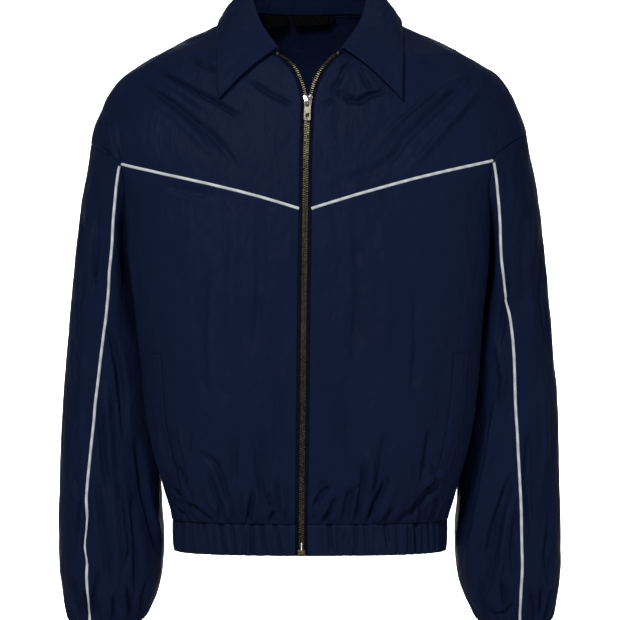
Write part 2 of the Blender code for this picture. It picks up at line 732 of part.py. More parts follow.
def make_band(cloth):
    """Gathered elastic band at the hem, open at the zip."""
    creases = [(band_angle(x), depth, BAND_CREASE_HALF) for x, depth in BAND_CREASES]
    first, last = creases[-1][0], 360 + creases[0][0]
    pitch = (last - first) / (BACK_CREASES + 1)
    for place, depth in ring_creases(BACK_CREASES, 0.4, 1.1, 2.0):
        creases.append((first + pitch * (place + 0.1), depth, BAND_CREASE_HALF))
    zip_x = float(zip_middle(HEM_SEAM_Z))
    left_end = band_angle(zip_x + FABRIC_FROM_ZIP)
    right_end = 360 + band_angle(zip_x - FABRIC_FROM_ZIP)
    creases = [(t if t > left_end else t + 360, depth, half) for t, depth, half in creases]
    levels = (HEM_SEAM_Z - SEAM_GAP / 2, (HEM_SEAM_Z + BAND_BOTTOM_Z) / 2, BAND_BOTTOM_Z)
    ends = (left_end, right_end)
    gathered_ring("hem_band", hem_point, creases, levels, (0.0, 0.6, -BAND_NIP), DOUBLE_CLOTH, cloth, ends)


def make_cuff(name, side, cloth):
    """Gathered elastic cuff at the end of a sleeve."""
    levels = (CUFF_SEAM_Z - SEAM_GAP / 2, (CUFF_SEAM_Z + CUFF_BOTTOM_Z) / 2, CUFF_BOTTOM_Z)

    def section(turn):
        ring = sleeve_ring(np.asarray(turn), np.ones(len(turn)))
        return ring[:, 0] * side, ring[:, 1]

    pitch = 360 / CUFF_CREASES
    creases = [(pitch * place, depth, 4.0) for place, depth in ring_creases(CUFF_CREASES, 0.3, 0.9, 1.6)]
    gathered_ring(name, section, creases, levels, (0.0, -0.6, -1.6), DOUBLE_CLOTH, cloth)


def neck_line(points):
    """The neck seam as points from the left front end round the back to the right one."""
    start = ZIP_ROWS + OPEN_ROWS
    left = points["yoke_left"][start:, 0]
    right = points["yoke_right"][start:, -1]
    back = points["back"][-1, FRONT_COLUMNS : FRONT_COLUMNS + 2 * NECK_COLUMNS + 1]
    return np.concatenate([left, back[1:-1], right[::-1]])


def make_collar(points, normals, cloth):
    """One folded sheet: up from the neck seam, over the roll and down to the pointed edge."""
    seam = neck_line(points) + (SEAM_GAP + 0.3) * neck_line(normals)
    half = len(seam) // 2
    share = np.abs(np.arange(len(seam)) - half) / half
    side = np.where(np.arange(len(seam)) <= half, 1.0, -1.0)
    table = through(COLLAR, share)
    roll, edge = table[:, 0:3].copy(), table[:, 3:6].copy()
    roll[:, 0] *= side
    edge[:, 0] *= side
    sheet, normal = [], []
    for s, r, e in zip(seam, roll, edge):
        out = e - s
        out[2] = 0
        out = unit(out)
        up = np.array([0.0, 0.0, 1.0])
        stand = unit(r - s)
        bend = min(COLLAR_BEND, 0.45 * np.linalg.norm(e - r), 0.9 * abs(float((e - s) @ out)) / 2)
        high = min(1.0, np.linalg.norm(r - s) / 20)
        inner = r - out * bend * 0.9 - stand * bend * 1.2 * high
        fall = unit(e - r)
        proud = unit(up - fall * float(up @ fall) + out * 0.05)
        outer = r + out * bend * 0.9 + fall * bend * 0.9
        path = [
            s,
            s + (inner - s) * 0.5 - out * 0.6 * high,
            inner,
            r - out * bend * 0.35 + up * bend * 0.25 * high,
            r + out * bend * 0.35 + up * bend * 0.25,
            outer,
            outer + (e - outer) * 0.3 + proud * 2.6,
            outer + (e - outer) * 0.65 + proud * 2.4,
            e,
        ]
        sheet.append(path)
    sheet = np.array(sheet)
    along = np.gradient(sheet, axis=0)
    across = np.gradient(sheet, axis=1)
    normal = np.cross(along, across)
    normal /= np.linalg.norm(normal, axis=2, keepdims=True)
    if normal[half, -2, 1] < 0:
        normal = -normal
    wall("collar", sheet, sheet - DOUBLE_CLOTH * 0.85 * normal, cloth)


def strip(name, centre, normal, half_width, height, lift, material):
    """A low cord along a line of points: flat below, rounded above."""
    tangent = np.gradient(centre, axis=0)
    across = np.cross(normal, tangent)
    across /= np.linalg.norm(across, axis=1, keepdims=True)
    profile = ((-1.0, 0.0), (-0.85, 0.6), (0.0, 1.0), (0.85, 0.6), (1.0, 0.0))
    rings = []
    for wide, high in profile:
        rings.append(centre + across * wide * half_width + normal * (lift + high * height))
    grid = np.array(rings).transpose(1, 0, 2)
    count, sides = grid.shape[:2]
    faces = triangles(count, sides, wrap=True)
    for start in (0, (count - 1) * sides):
        faces += [(start, start + k, start + k + 1) for k in range(1, sides - 1)]
    mesh_object(name, grid.reshape(-1, 3), faces, material)


def make_piping(points, normals, cord):
    """Corded piping in the yoke seams and down the sleeves."""
    half = PIPING_WIDTH / 2
    for name in ("left", "right"):
        column, nearer = (-1, -2) if name == "left" else (0, 1)
        seam, n = points[f"yoke_{name}"][0].copy(), normals[f"yoke_{name}"][0]
        seam[column] += unit(seam[nearer] - seam[column]) * (half + 1.0)
        strip(f"piping_yoke_{name}", seam, n, half, PIPING_HEIGHT, LIFT + 0.25, cord)
        seam = points[f"sleeve_front_{name}"][:, column].copy()
        n = normals[f"sleeve_front_{name}"][:, column]
        seam[0] += unit(seam[1] - seam[0]) * 0.8
        seam[-1] += unit(seam[-2] - seam[-1]) * 3.0
        strip(f"piping_sleeve_{name}", seam, n, half, PIPING_HEIGHT, LIFT + 0.25, cord)


def zip_edges(points, normals):
    """For each side, rows up its front edge: the edge, its way in, both normals and the wall there."""
    out = {}
    stop = ZIP_ROWS + OPEN_ROWS + 1
    for name, side in (("left", 1), ("right", -1)):
        edge, nearer = (0, 1) if side > 0 else (-1, -2)
        rows = []
        for column in (edge, nearer):
            for values in (points, normals):
                rows.append(np.concatenate([
                    values[f"front_{name}"][:, column], values[f"yoke_{name}"][1:stop, column]
                ]))
        line, n, beside, n_beside = rows
        length = np.linalg.norm(beside - line, axis=1, keepdims=True)
        inward = (beside - line) / length
        mixed = unit_rows(n + (n_beside - n) * (TAPE_UNDER / length))
        low = np.array([[0.0, 0.0, BAND_BOTTOM_Z - HEM_SEAM_Z], [0.0, 0.0, -SEAM_GAP]])
        line = np.concatenate([line[0] + low, line])
        inward, n, mixed = (np.concatenate([v[:1], v[:1], v]) for v in (inward, n, mixed))
        wall_here = np.full((len(line), 1), CLOTH)
        wall_here[:3] = DOUBLE_CLOTH
        wall_here[0] += BAND_NIP + 0.1
        out[name] = (line, inward, n, mixed, wall_here)
    return out


def slab(name, centre, across, normal, half_width, thick, material):
    """A flat strip with a box section along a line of points."""
    corners = [
        centre - across * half_width,
        centre + across * half_width,
        centre + across * half_width - normal * thick,
        centre - across * half_width - normal * thick,
    ]
    grid = np.array(corners).transpose(1, 0, 2)
    count = grid.shape[0]
    faces = triangles(count, 4, wrap=True)
    last = (count - 1) * 4
    faces += [(0, 1, 2), (0, 2, 3), (last, last + 1, last + 2), (last, last + 2, last + 3)]
    mesh_object(name, grid.reshape(-1, 3), faces, material)


def make_zip(points, normals, tape, teeth):
    """Tapes behind the front edges, and the chain of teeth between them.

    Returns the slider's place: the chain's top, the way out of the chest, and the way up.
    """
    edges = zip_edges(points, normals)
    split = BAND_ROWS + SIDE_ROWS + ARM_ROWS + ZIP_ROWS
    toward = FABRIC_FROM_ZIP - CHAIN_WIDTH / 2 - SEAM_GAP
    lines = {}
    for name, (line, inward, n, mixed, wall_here) in edges.items():
        near = line - inward * toward - n * (wall_here + LIFT)
        under = line + inward * TAPE_UNDER - mixed * (wall_here + LIFT)
        order = (near, under, n, mixed) if name == "left" else (under, near, mixed, n)
        outer, back = np.stack(order[:2], 1), np.stack(order[2:], 1)
        wall(f"zip_tape_{name}", outer, outer - TAPE_WALL * back, tape)
        front = line - inward * (toward + SEAM_GAP) - n * (CLOTH + LIFT - CHAIN_PROUD)
        lines[name] = (front, inward, n)
    left, _, n_left = lines["left"]
    right, _, n_right = lines["right"]
    closed = slice(0, split + 1)
    centre = (left[closed] + right[closed]) / 2
    n = unit_rows(n_left[closed] + n_right[closed])
    across = unit_rows(left[closed] - right[closed])
    chain = centre.copy()
    chain[0, 2] += BOX_HEIGHT + SEAM_GAP
    slab("zip_chain", chain, across, n, CHAIN_WIDTH / 2, CHAIN_THICK, teeth)
    for name, (line, inward, n_side) in lines.items():
        middle = line[split:] - inward[split:] * CHAIN_WIDTH / 4
        middle[0] += unit(middle[1] - middle[0]) * 0.6
        stop = middle[-1].copy()
        up = unit(middle[-1] - middle[-2])
        middle[-1] -= up * (STOP_HEIGHT + SEAM_GAP)
        slab(f"zip_teeth_{name}", middle, inward[split:], n_side[split:], CHAIN_WIDTH / 4 - 0.05,
             CHAIN_THICK, teeth)
        ends = np.array([stop - up * STOP_HEIGHT, stop])
        slab(f"zip_stop_{name}", ends, inward[-2:], n_side[-2:], CHAIN_WIDTH / 4 - 0.05,
             CHAIN_THICK, teeth)
    foot = centre[0] + n[0] * 0.6
    ends = np.array([foot, foot + (0, 0, BOX_HEIGHT)])
    slab("zip_box", ends, across[:2], n[:2], BOX_WIDTH / 2, CHAIN_PROUD + DOUBLE_CLOTH - CLOTH, teeth)
    return centre[-1], n[-1], unit(centre[-1] - centre[-2])


def prism(name, outline, low, high, frame, material):
    """A solid between two copies of an outline; frame is its origin and three directions."""
    origin, first, second, third = frame
    rings = [
        [origin + first * a + second * b + third * c for a, b in outline] for c in (low, high)
    ]
    count = len(outline)
    faces = [tuple(range(count)), tuple(range(2 * count - 1, count - 1, -1))]
    faces += [(k, (k + 1) % count, (k + 1) % count + count, k + count) for k in range(count)]
    return mesh_object(name, rings[0] + rings[1], faces, material, smooth=False)


def combine(thing, others, operation):
    """Joins or cuts a solid with guide solids, which are not pieces of their own."""
    for other in others:
        other.hide_render = True
        other.display_type = "WIRE"
        modifier = thing.modifiers.new(other.name, "BOOLEAN")
        modifier.operation = operation
        modifier.object = other


def make_slider(place, metal):
    """Slider body of two plates and a wedge, with its bridge, and the pull tab hinged on it."""
    origin, out, up = place
    across = unit(np.cross(up, out))
    out = unit(np.cross(across, up))
    flat = (origin, across, up, out)
    side = (origin, out, up, across)
    wide, narrow = SLIDER_WIDTH / 2, SLIDER_WIDTH / 2 - 1.4
    plate = [
        (-narrow, SLIDER_LOW), (narrow, SLIDER_LOW), (narrow, -0.5), (wide, 1.2), (wide, 3.8),
        (wide - 1.6, SLIDER_HIGH), (1.6, SLIDER_HIGH), (0.0, SLIDER_HIGH - 0.9), (-1.6, SLIDER_HIGH),
        (1.6 - wide, SLIDER_HIGH), (-wide, 3.8), (-wide, 1.2), (-narrow, -0.5),
    ]
    front_low, front_high = 0.4, 0.4 + PLATE
    back_high = -CHAIN_THICK - 0.4
    body = prism("zip_slider", plate, front_low, front_high, flat, metal)
    back = prism("guide_slider_back", plate, back_high - PLATE, back_high, flat, metal)
    wedge = [(-0.7, 3.4), (0.7, 3.4), (0.9, SLIDER_HIGH - 1.0), (-0.9, SLIDER_HIGH - 1.0)]
    post = prism("guide_slider_wedge", wedge, back_high - 0.5, front_high - 0.3, flat, metal)
    top = BRIDGE_HIGH
    bridge = [
        (front_high - 0.3, 3.6), (top - 1.0, 3.0), (top, 0.8), (top, -4.2), (top - 0.9, -6.2),
        (front_high - 0.3, -6.8), (front_high - 0.3, -5.7), (top - 1.6, -5.3), (top - 1.0, -4.0),
        (top - 1.0, 0.6), (top - 1.6, 2.0), (front_high - 0.3, 2.5),
    ]
    arch = prism("guide_slider_bridge", bridge, -BRIDGE_WIDTH / 2, BRIDGE_WIDTH / 2, side, metal)
    combine(body, (back, post, arch), "UNION")
    pin = origin + up * PIN_UP + out * PIN_OUT
    frame = (pin, across, up, out)
    half = TAB_WALL / 2
    tab = [
        (-2.9, 0.8), (2.9, 0.8), (3.5, -1.2), (3.9, -TAB_LENGTH + 1.2), (3.3, -TAB_LENGTH),
        (-3.3, -TAB_LENGTH), (-3.9, -TAB_LENGTH + 1.2), (-3.5, -1.2),
    ]
    pull = prism("zip_pull_tab", tab, -half, half, frame, metal)
    slot = [(-1.8, -0.8), (1.8, -0.8), (1.8, -6.6), (-1.8, -6.6)]
    window = [(-2.2, 3.4 - TAB_LENGTH), (2.2, 3.4 - TAB_LENGTH), (2.2, 8.4 - TAB_LENGTH),
              (-2.2, 8.4 - TAB_LENGTH)]
    cuts = [
        prism("guide_tab_slot", slot[::-1], -2 * half, 2 * half, frame, metal),
        prism("guide_tab_window", window, -2 * half, 2 * half, frame, metal),
    ]
    combine(pull, cuts, "DIFFERENCE")


def make_welt(name, grid, normal, cloth):
    """Welt along a pocket's opening: one column of a lower front's points, moved out."""
    first = WELT_COLUMN if name == "left" else FRONT_COLUMNS - WELT_COLUMN - 1
    column = grid[:, first : first + 2]
    height = column[:, :, 2].mean(1)
    low, high = (float(np.interp(z, height, np.arange(len(height)))) for z in (WELT_BOTTOM_Z, WELT_TOP_Z))
    rows = np.array([low, *range(int(low) + 1, int(high) + 1), high])

    def along(values):
        return np.stack([
            [np.interp(rows, np.arange(len(height)), values[:, j, k]) for k in range(3)]
            for j in (first, first + 1)
        ]).transpose(2, 0, 1)

    base, ways = along(grid), unit_rows(along(normal))
    wall(f"pocket_welt_{name}", base + ways * (WELT_LIFT + WELT_WALL), base + ways * WELT_LIFT, cloth)


def make_labels(cloth):
    """Blank labels that hang inside the back of the neck, just below its seam."""
    for name, left_x, right_x, top, left_low, right_low in LABELS:
        columns = []
        for x, low in ((left_x, left_low), (right_x, right_low)):
            angle = 180 - abs(float(front_angle(np.array(x), 0.0)))
            point = torso_point(angle, 0.0) * (math.copysign(1, x), 1, 1)
            n = unit(np.array([point[0] / 1.8, point[1], 0.0]))
            point = point - n * LABEL_FROM_SEAM
            columns.append([point + (0, 0, low), point + (0, 0, top), n])
        (a, b, n), (c, d, m) = columns
        face = np.array([[a, c], [b, d]])
        back = face + LABEL_WALL * np.array([[n, m], [n, m]])
        wall(f"label_{name}", face, back, cloth)


def build():
    for thing in list(bpy.data.objects):
        bpy.data.objects.remove(thing)
    shell = make_material("navy_nylon", (0.008, 0.012, 0.035), 0.55)
    ribbed = make_material("gathered_nylon", (0.009, 0.013, 0.033), 0.55)
    cord = make_material("pale_piping", (0.72, 0.73, 0.75), 0.6)
    tape = make_material("zip_tape", (0.012, 0.014, 0.022), 0.8)
    label = make_material("black_label", (0.006, 0.006, 0.007), 0.6)
    brass = make_material("zip_metal", (0.35, 0.31, 0.22), 0.35, 1.0)
    nickel = make_material("slider_metal", (0.72, 0.72, 0.70), 0.2, 1.0)
    skin = Skin(body_grids())
    folded(skin)
    points, normals = skin.panels(skin.points), skin.panels(skin.normals())
    make_panels(points, normals, shell)
    make_band(ribbed)
    make_cuff("cuff_left", 1, ribbed)
    make_cuff("cuff_right", -1, ribbed)
    make_collar(points, normals, shell)
    make_piping(points, normals, cord)
    make_slider(make_zip(points, normals, tape, brass), nickel)
    for name in ("left", "right"):
        make_welt(name, points[f"front_{name}"], normals[f"front_{name}"], shell)
    make_labels(label)


build()
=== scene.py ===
# %% [markdown]
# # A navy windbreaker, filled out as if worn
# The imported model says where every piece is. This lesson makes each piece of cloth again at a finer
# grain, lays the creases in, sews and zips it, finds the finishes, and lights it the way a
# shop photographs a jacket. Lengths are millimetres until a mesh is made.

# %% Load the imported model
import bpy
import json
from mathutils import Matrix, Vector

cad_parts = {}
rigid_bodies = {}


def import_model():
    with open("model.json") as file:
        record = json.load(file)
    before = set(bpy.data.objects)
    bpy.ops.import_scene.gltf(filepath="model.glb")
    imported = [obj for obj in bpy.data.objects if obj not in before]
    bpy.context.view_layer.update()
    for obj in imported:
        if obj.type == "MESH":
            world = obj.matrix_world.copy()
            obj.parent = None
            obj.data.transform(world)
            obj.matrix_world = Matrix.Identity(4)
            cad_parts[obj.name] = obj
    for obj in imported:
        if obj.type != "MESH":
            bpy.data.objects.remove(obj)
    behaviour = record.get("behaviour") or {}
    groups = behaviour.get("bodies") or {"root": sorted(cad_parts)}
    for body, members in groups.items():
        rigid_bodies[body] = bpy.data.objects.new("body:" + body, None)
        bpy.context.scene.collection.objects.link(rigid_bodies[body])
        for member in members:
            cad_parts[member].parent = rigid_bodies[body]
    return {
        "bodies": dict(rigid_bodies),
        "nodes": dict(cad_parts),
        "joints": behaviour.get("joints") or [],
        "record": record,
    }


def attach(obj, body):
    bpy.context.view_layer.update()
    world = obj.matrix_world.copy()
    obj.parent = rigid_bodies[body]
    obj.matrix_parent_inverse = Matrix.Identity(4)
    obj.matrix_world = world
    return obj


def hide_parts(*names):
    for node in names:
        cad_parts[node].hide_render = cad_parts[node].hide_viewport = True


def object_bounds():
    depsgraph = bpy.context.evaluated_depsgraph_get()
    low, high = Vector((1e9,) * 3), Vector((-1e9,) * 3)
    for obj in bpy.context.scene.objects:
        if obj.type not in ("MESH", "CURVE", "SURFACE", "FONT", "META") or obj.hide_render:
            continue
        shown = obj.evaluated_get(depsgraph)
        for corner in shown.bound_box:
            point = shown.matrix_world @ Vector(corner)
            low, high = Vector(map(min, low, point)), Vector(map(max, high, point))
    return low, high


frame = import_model()
CAD_LOW, CAD_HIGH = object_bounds()
print("model from", [round(v, 3) for v in CAD_LOW], "to", [round(v, 3) for v in CAD_HIGH])

# %% Modules and the unit
import json
import math

import bmesh
import bpy
import numpy as np
from mathutils import Vector, noise

MM = 0.001


def placed(name, data):
    """A new object in the scene."""
    thing = bpy.data.objects.new(name, data)
    bpy.context.collection.objects.link(thing)
    return thing


print("1 mm is", MM, "m")

# %% [markdown]
# ## Camera
# The photograph is square and was taken from far away with a long lens, at the height of the chest.
# Fixing the camera first means that every later piece can be judged in the picture's own frame.

# %% Camera
PHOTO_SIDE = 620  # pixels
MM_PER_PIXEL = 1.2  # at the plane of the arms
CAMERA_AWAY = 4000
CAMERA_Z = -358
SENSOR = 36

camera = placed("camera", bpy.data.cameras.new("camera"))
bpy.context.scene.camera = camera
camera.location = (0, -CAMERA_AWAY * MM, CAMERA_Z * MM)
camera.rotation_euler = (math.radians(90), 0, 0)
camera.data.sensor_width = SENSOR
camera.data.lens = SENSOR * CAMERA_AWAY / (PHOTO_SIDE * MM_PER_PIXEL)
print("lens", round(camera.data.lens, 1), "mm")

# %% [markdown]
# ## Colours and nodes
# Colours are noted as they look on a screen, in sRGB hex, and one function turns them to the linear
# values that shaders want. One more function adds a node with its settings and its links.

# %% Colour from hex
def colour(code):
    """Linear red, green, blue and alpha from an sRGB hex code."""
    parts = [int(code[k : k + 2], 16) / 255 for k in (1, 3, 5)]
    return (*(c / 12.92 if c <= 0.04045 else ((c + 0.055) / 1.055) ** 2.4 for c in parts), 1.0)


# %% Materials and nodes
def new_material(name):
    """A material and its shader node."""
    material = bpy.data.materials.new(name)
    material.use_nodes = True
    return material, material.node_tree.nodes["Principled BSDF"]


def add_node(material, kind, settings=(), links=()):
    """Adds a node; settings name its properties or inputs, links join its inputs to outputs."""
    node = material.node_tree.nodes.new(kind)
    for key, value in dict(settings).items():
        if isinstance(key, str) and hasattr(node, key):
            setattr(node, key, value)
        else:
            node.inputs[key].default_value = value
    for key, output in dict(links).items():
        material.node_tree.links.new(output, node.inputs[key])
    return node


print("dark navy is", [round(c, 3) for c in colour("#111B34")])

# %% [markdown]
# ## Crinkled nylon
# The shell is a light plain-woven nylon, washed so that it keeps fine crinkles that run with the
# warp. It reflects softly, with a faint bluish sheen where it turns away. The threads are about
# 0.25 mm apart, far too fine to show, so the weave is drawn at 1.2 mm as a faint grain.

# %% Nylon
CRINKLE_MM = 7.0  # between fine crinkles
WEAVE_MM = 1.2  # drawn coarser than the real 0.25 mm


def nylon(name, dark, light, rough):
    material, shader = new_material(name)
    place = add_node(material, "ShaderNodeTexCoord").outputs["Object"]
    stretched = add_node(material, "ShaderNodeMapping", {"Scale": (1.0, 1.0, 0.45)}, {"Vector": place})
    crinkle = add_node(material, "ShaderNodeTexNoise",
                       {"Scale": 1000 / CRINKLE_MM / 2, "Detail": 3.0, "Roughness": 0.55, "Distortion": 0.3},
                       {"Vector": stretched.outputs["Vector"]})
    broad = add_node(material, "ShaderNodeTexNoise", {"Scale": 14.0, "Detail": 3.0, "Distortion": 0.4},
                     {"Vector": stretched.outputs["Vector"]})
    weave = add_node(material, "ShaderNodeTexNoise", {"Scale": 1000 / WEAVE_MM, "Detail": 1.0},
                     {"Vector": place})
    tint = add_node(material, "ShaderNodeMix", {"data_type": "RGBA"}, {"Factor": broad.outputs["Fac"]})
    tint.inputs["A"].default_value = colour(dark)
    tint.inputs["B"].default_value = colour(light)
    sharp = add_node(material, "ShaderNodeBump", {"Strength": 1.0, "Distance": 0.003},
                     {"Height": crinkle.outputs["Fac"]})
    grain = add_node(material, "ShaderNodeBump", {"Strength": 0.12, "Distance": 0.0003},
                     {"Height": weave.outputs["Fac"], "Normal": sharp.outputs["Normal"]})
    tree = material.node_tree
    tree.links.new(tint.outputs["Result"], shader.inputs["Base Color"])
    tree.links.new(grain.outputs["Normal"], shader.inputs["Normal"])
    shader.inputs["Roughness"].default_value = rough
    shader.inputs["IOR"].default_value = 1.53
    shader.inputs["Specular IOR Level"].default_value = 0.022
    shader.inputs["Sheen Weight"].default_value = 0.01
    shader.inputs["Sheen Roughness"].default_value = 0.4
    shader.inputs["Sheen Tint"].default_value = colour("#8FA0C8")
    return material


shell_nylon = nylon("crinkled_nylon", "#0D152C", "#101A33", 0.52)
band_nylon = nylon("gathered_nylon", "#0F172D", "#121B33", 0.52)
print("made", shell_nylon.name, "and", band_nylon.name)

# %% [markdown]
# ## Trim finishes
# Satin piping in off-white, black woven tape and labels, a polished nickel slider, and brass teeth
# that have darkened. A metal keeps its default IOR; roughness and colour make its age.

# %% Woven trim
def woven(name, dark, light, thread_mm, rough, sheen):
    material, shader = new_material(name)
    place = add_node(material, "ShaderNodeTexCoord").outputs["Object"]
    threads = add_node(material, "ShaderNodeTexWave",
                       {"wave_type": "BANDS", "bands_direction": "DIAGONAL", "Scale": 1000 / thread_mm / 20,
                        "Distortion": 1.2, "Detail": 1.0}, {"Vector": place})
    tint = add_node(material, "ShaderNodeMix", {"data_type": "RGBA"}, {"Factor": threads.outputs["Fac"]})
    tint.inputs["A"].default_value = colour(dark)
    tint.inputs["B"].default_value = colour(light)
    bump = add_node(material, "ShaderNodeBump", {"Strength": 0.35, "Distance": 0.0003},
                    {"Height": threads.outputs["Fac"]})
    material.node_tree.links.new(tint.outputs["Result"], shader.inputs["Base Color"])
    material.node_tree.links.new(bump.outputs["Normal"], shader.inputs["Normal"])
    shader.inputs["Roughness"].default_value = rough
    shader.inputs["Specular IOR Level"].default_value = 0.05
    shader.inputs["Sheen Weight"].default_value = sheen
    return material


satin_piping = woven("satin_piping", "#AFB4B9", "#C3C8CC", 1.5, 0.6, 0.0)
polyester_tape = woven("polyester_tape", "#060914", "#090D1C", 1.2, 0.9, 0.0)
damask_label = woven("damask_label", "#030304", "#060607", 0.8, 0.9, 0.0)
sewing_thread = woven("sewing_thread", "#101A34", "#16213F", 0.8, 0.6, 0.02)


# %% Metals
def metal(name, bright, dull, rough, patch_mm):
    material, shader = new_material(name)
    place = add_node(material, "ShaderNodeTexCoord").outputs["Object"]
    wear = add_node(material, "ShaderNodeTexNoise", {"Scale": 1000 / patch_mm, "Detail": 4.0},
                    {"Vector": place})
    patches = add_node(material, "ShaderNodeMapRange", {"From Min": 0.34, "From Max": 0.66},
                       {"Value": wear.outputs["Fac"]})
    tint = add_node(material, "ShaderNodeMix", {"data_type": "RGBA"}, {"Factor": patches.outputs["Result"]})
    tint.inputs["A"].default_value = colour(dull)
    tint.inputs["B"].default_value = colour(bright)
    bump = add_node(material, "ShaderNodeBump", {"Strength": 0.15, "Distance": 0.0001},
                    {"Height": wear.outputs["Fac"]})
    material.node_tree.links.new(tint.outputs["Result"], shader.inputs["Base Color"])
    material.node_tree.links.new(bump.outputs["Normal"], shader.inputs["Normal"])
    shader.inputs["Metallic"].default_value = 1.0
    shader.inputs["Roughness"].default_value = rough
    return material


antique_brass = metal("antique_brass", "#857B60", "#14120D", 0.4, 1.4)
bright_nickel = metal("bright_nickel", "#C6C4BE", "#8F8C85", 0.24, 5.0)
aged_nickel = metal("aged_nickel", "#716B60", "#3A3631", 0.36, 4.0)
print("made", len(bpy.data.materials), "materials")

# %% [markdown]
# ## The cut
# The body is a stack of rounded sections and each sleeve another. A point on the body is an angle
# round it and a height; a panel is the patch between four seams. These sizes are the ones that the
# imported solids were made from, so the fine cloth lies on them.

# %% Levels and the grain of the cloth
FINE = 10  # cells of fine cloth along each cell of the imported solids
# Cloth and seams
CLOTH = 1.2  # wall of the shell fabric
DOUBLE_CLOTH = 2.0  # wall of the hem band, cuffs and collar
SEAM_GAP = 0.3  # between two neighbouring pieces
LIFT = 0.35  # from a panel to what lies on it
# Levels, measured down from the shoulder beside the neck
HEM_SEAM_Z = -608.0
BAND_BOTTOM_Z = -645.0
CUFF_SEAM_Z = -731.0
CUFF_BOTTOM_Z = -768.0
SLIDER_Z = -113.0
YOKE_CENTRE_Z = -240.0
UNDERARM_Z = -305.0
SIDE_ROWS = 9 * FINE * 3 // 2  # finer still down the body, where the cells are long
ARM_ROWS = 6 * FINE
ZIP_ROWS = 2 * FINE
OPEN_ROWS = 3 * FINE
NECK_ROWS = 5 * FINE
YOKE_ROWS = ZIP_ROWS + OPEN_ROWS + NECK_ROWS
BACK_ARM_ROWS = 12 * FINE
FRONT_COLUMNS = 14 * FINE
NECK_COLUMNS = 6 * FINE
SLEEVE_ROWS = 13 * FINE
# Zip
FABRIC_FROM_ZIP = 7.2  # edge of a front panel to the zip's middle

# %% Body sections
# Body of the garment: sections across it, from the neck down.
# z, half-width of the fronts, of the back, at the side seam, front depth, back depth, squareness
TORSO = (
    (0, 82, 82, 82, 8, 62, 2.3),
    (-16, 111, 111, 111, 28, 74, 2.4),
    (-34, 149, 149, 149, 56, 86, 2.4),
    (-58, 194, 194, 194, 91, 98, 2.4),
    (-82, 229, 229, 229, 101, 105, 2.4),
    (-109, 247, 247, 247, 108, 112, 2.5),
    (-158, 262, 262, 262, 117, 119, 2.7),
    (-186, 246, 243, 240, 121, 122, 3.0),
    (-228, 228, 222, 206, 125, 124, 3.1),
    (-299, 221, 201, 177, 129, 124, 3.2),
    (-358, 214, 193, 170, 131, 121, 3.2),
    (-417, 209, 189, 166, 133, 120, 3.2),
    (-476, 203, 186, 164, 134, 121, 3.2),
    (-518, 195, 183, 163, 134, 122, 3.1),
    (-553, 186, 178, 163, 133, 122, 3.0),
    (-585, 176, 172, 164, 129, 120, 2.9),
    (-598, 170, 168, 165, 124, 116, 2.8),
    (-608, 165, 165, 165, 118, 112, 2.7),
)
SIDE_Y_AT_NECK = 0.0
SIDE_Y = 10.0  # the side seam lies a little behind the middle
TUCK_Y = 22.0  # middle of the hollow that the hanging sleeve presses in the side
TUCK_REACH = 62.0


def through(table, at):
    """Smooth values at the keys `at` of a table whose first column holds the keys."""
    rows = np.array(table, float)
    rows = rows[np.argsort(rows[:, 0])]
    key, value = rows[:, 0], rows[:, 1:]
    gap = np.diff(key)[:, None]
    rise = np.diff(value, axis=0) / gap
    product = rise[1:] * rise[:-1]
    total = np.where(product > 0, rise[1:] + rise[:-1], 1.0)
    slope = np.vstack([rise[:1], np.where(product > 0, 2 * product / total, 0.0), rise[-1:]])
    at = np.clip(np.asarray(at, float), key[0], key[-1])
    i = np.clip(np.searchsorted(key, at, side="right") - 1, 0, len(key) - 2)
    h = gap[i, 0][..., None]
    t = (at[..., None] - key[i][..., None]) / h
    start = (1 + 2 * t) * (1 - t) ** 2 * value[i] + t * (1 - t) ** 2 * h * slope[i]
    end = t * t * (3 - 2 * t) * value[i + 1] + t * t * (t - 1) * h * slope[i + 1]
    return start + end


def torso_point(angle, z):
    """Points of the body; the angle runs from 0 at the front over 90 at the side to 180."""
    angle, z = np.broadcast_arrays(np.asarray(angle, float), np.asarray(z, float))
    front_half, back_half, side, front, back, power = np.moveaxis(through(TORSO, z), -1, 0)
    turn = np.radians(angle)
    across, along = np.sin(turn), np.cos(turn)
    radius = (np.abs(across) ** power + np.abs(along) ** power) ** (-1 / power)
    middle = SIDE_Y_AT_NECK + (SIDE_Y - SIDE_Y_AT_NECK) * np.clip(-z / 158, 0, 1)
    depth = np.where(along >= 0, front + middle, back - middle)
    half = np.where(along >= 0, front_half, back_half)
    x = half * radius * across
    y = middle - depth * radius * along
    hollow = np.exp(-(((y - TUCK_Y) / TUCK_REACH) ** 4))
    x = x - np.sign(across) * (half - side) * hollow * np.abs(across) ** 6
    return np.stack([x, y, z], -1)


def front_angle(x, z):
    """The angle at which the front of the body is x from its middle."""
    half, _, _, _, _, power = np.moveaxis(through(TORSO, z), -1, 0)
    share = np.clip(np.abs(x) / half, 0, 0.98) ** power
    return np.sign(x) * np.degrees(np.arctan((share / (1 - share)) ** (1 / power)))


print("chest is", round(2 * float(torso_point(90.0, -300.0)[0])), "mm across at the underarm")

# %% [markdown]
# ### Seam lines
# The zip drifts a little to one side on its way down, and its top is open in an uneven V. The yoke
# seam runs from the zip to the armhole, where it meets the sleeve's piping.

# %% Seam tables
# Middle of the zip: z, x
ZIP_LINE = (
    (-113, -2.5),
    (-178, -4.8),
    (-240, -5.6),
    (-360, -7.2),
    (-480, -8.4),
    (-612, -10.0),
)
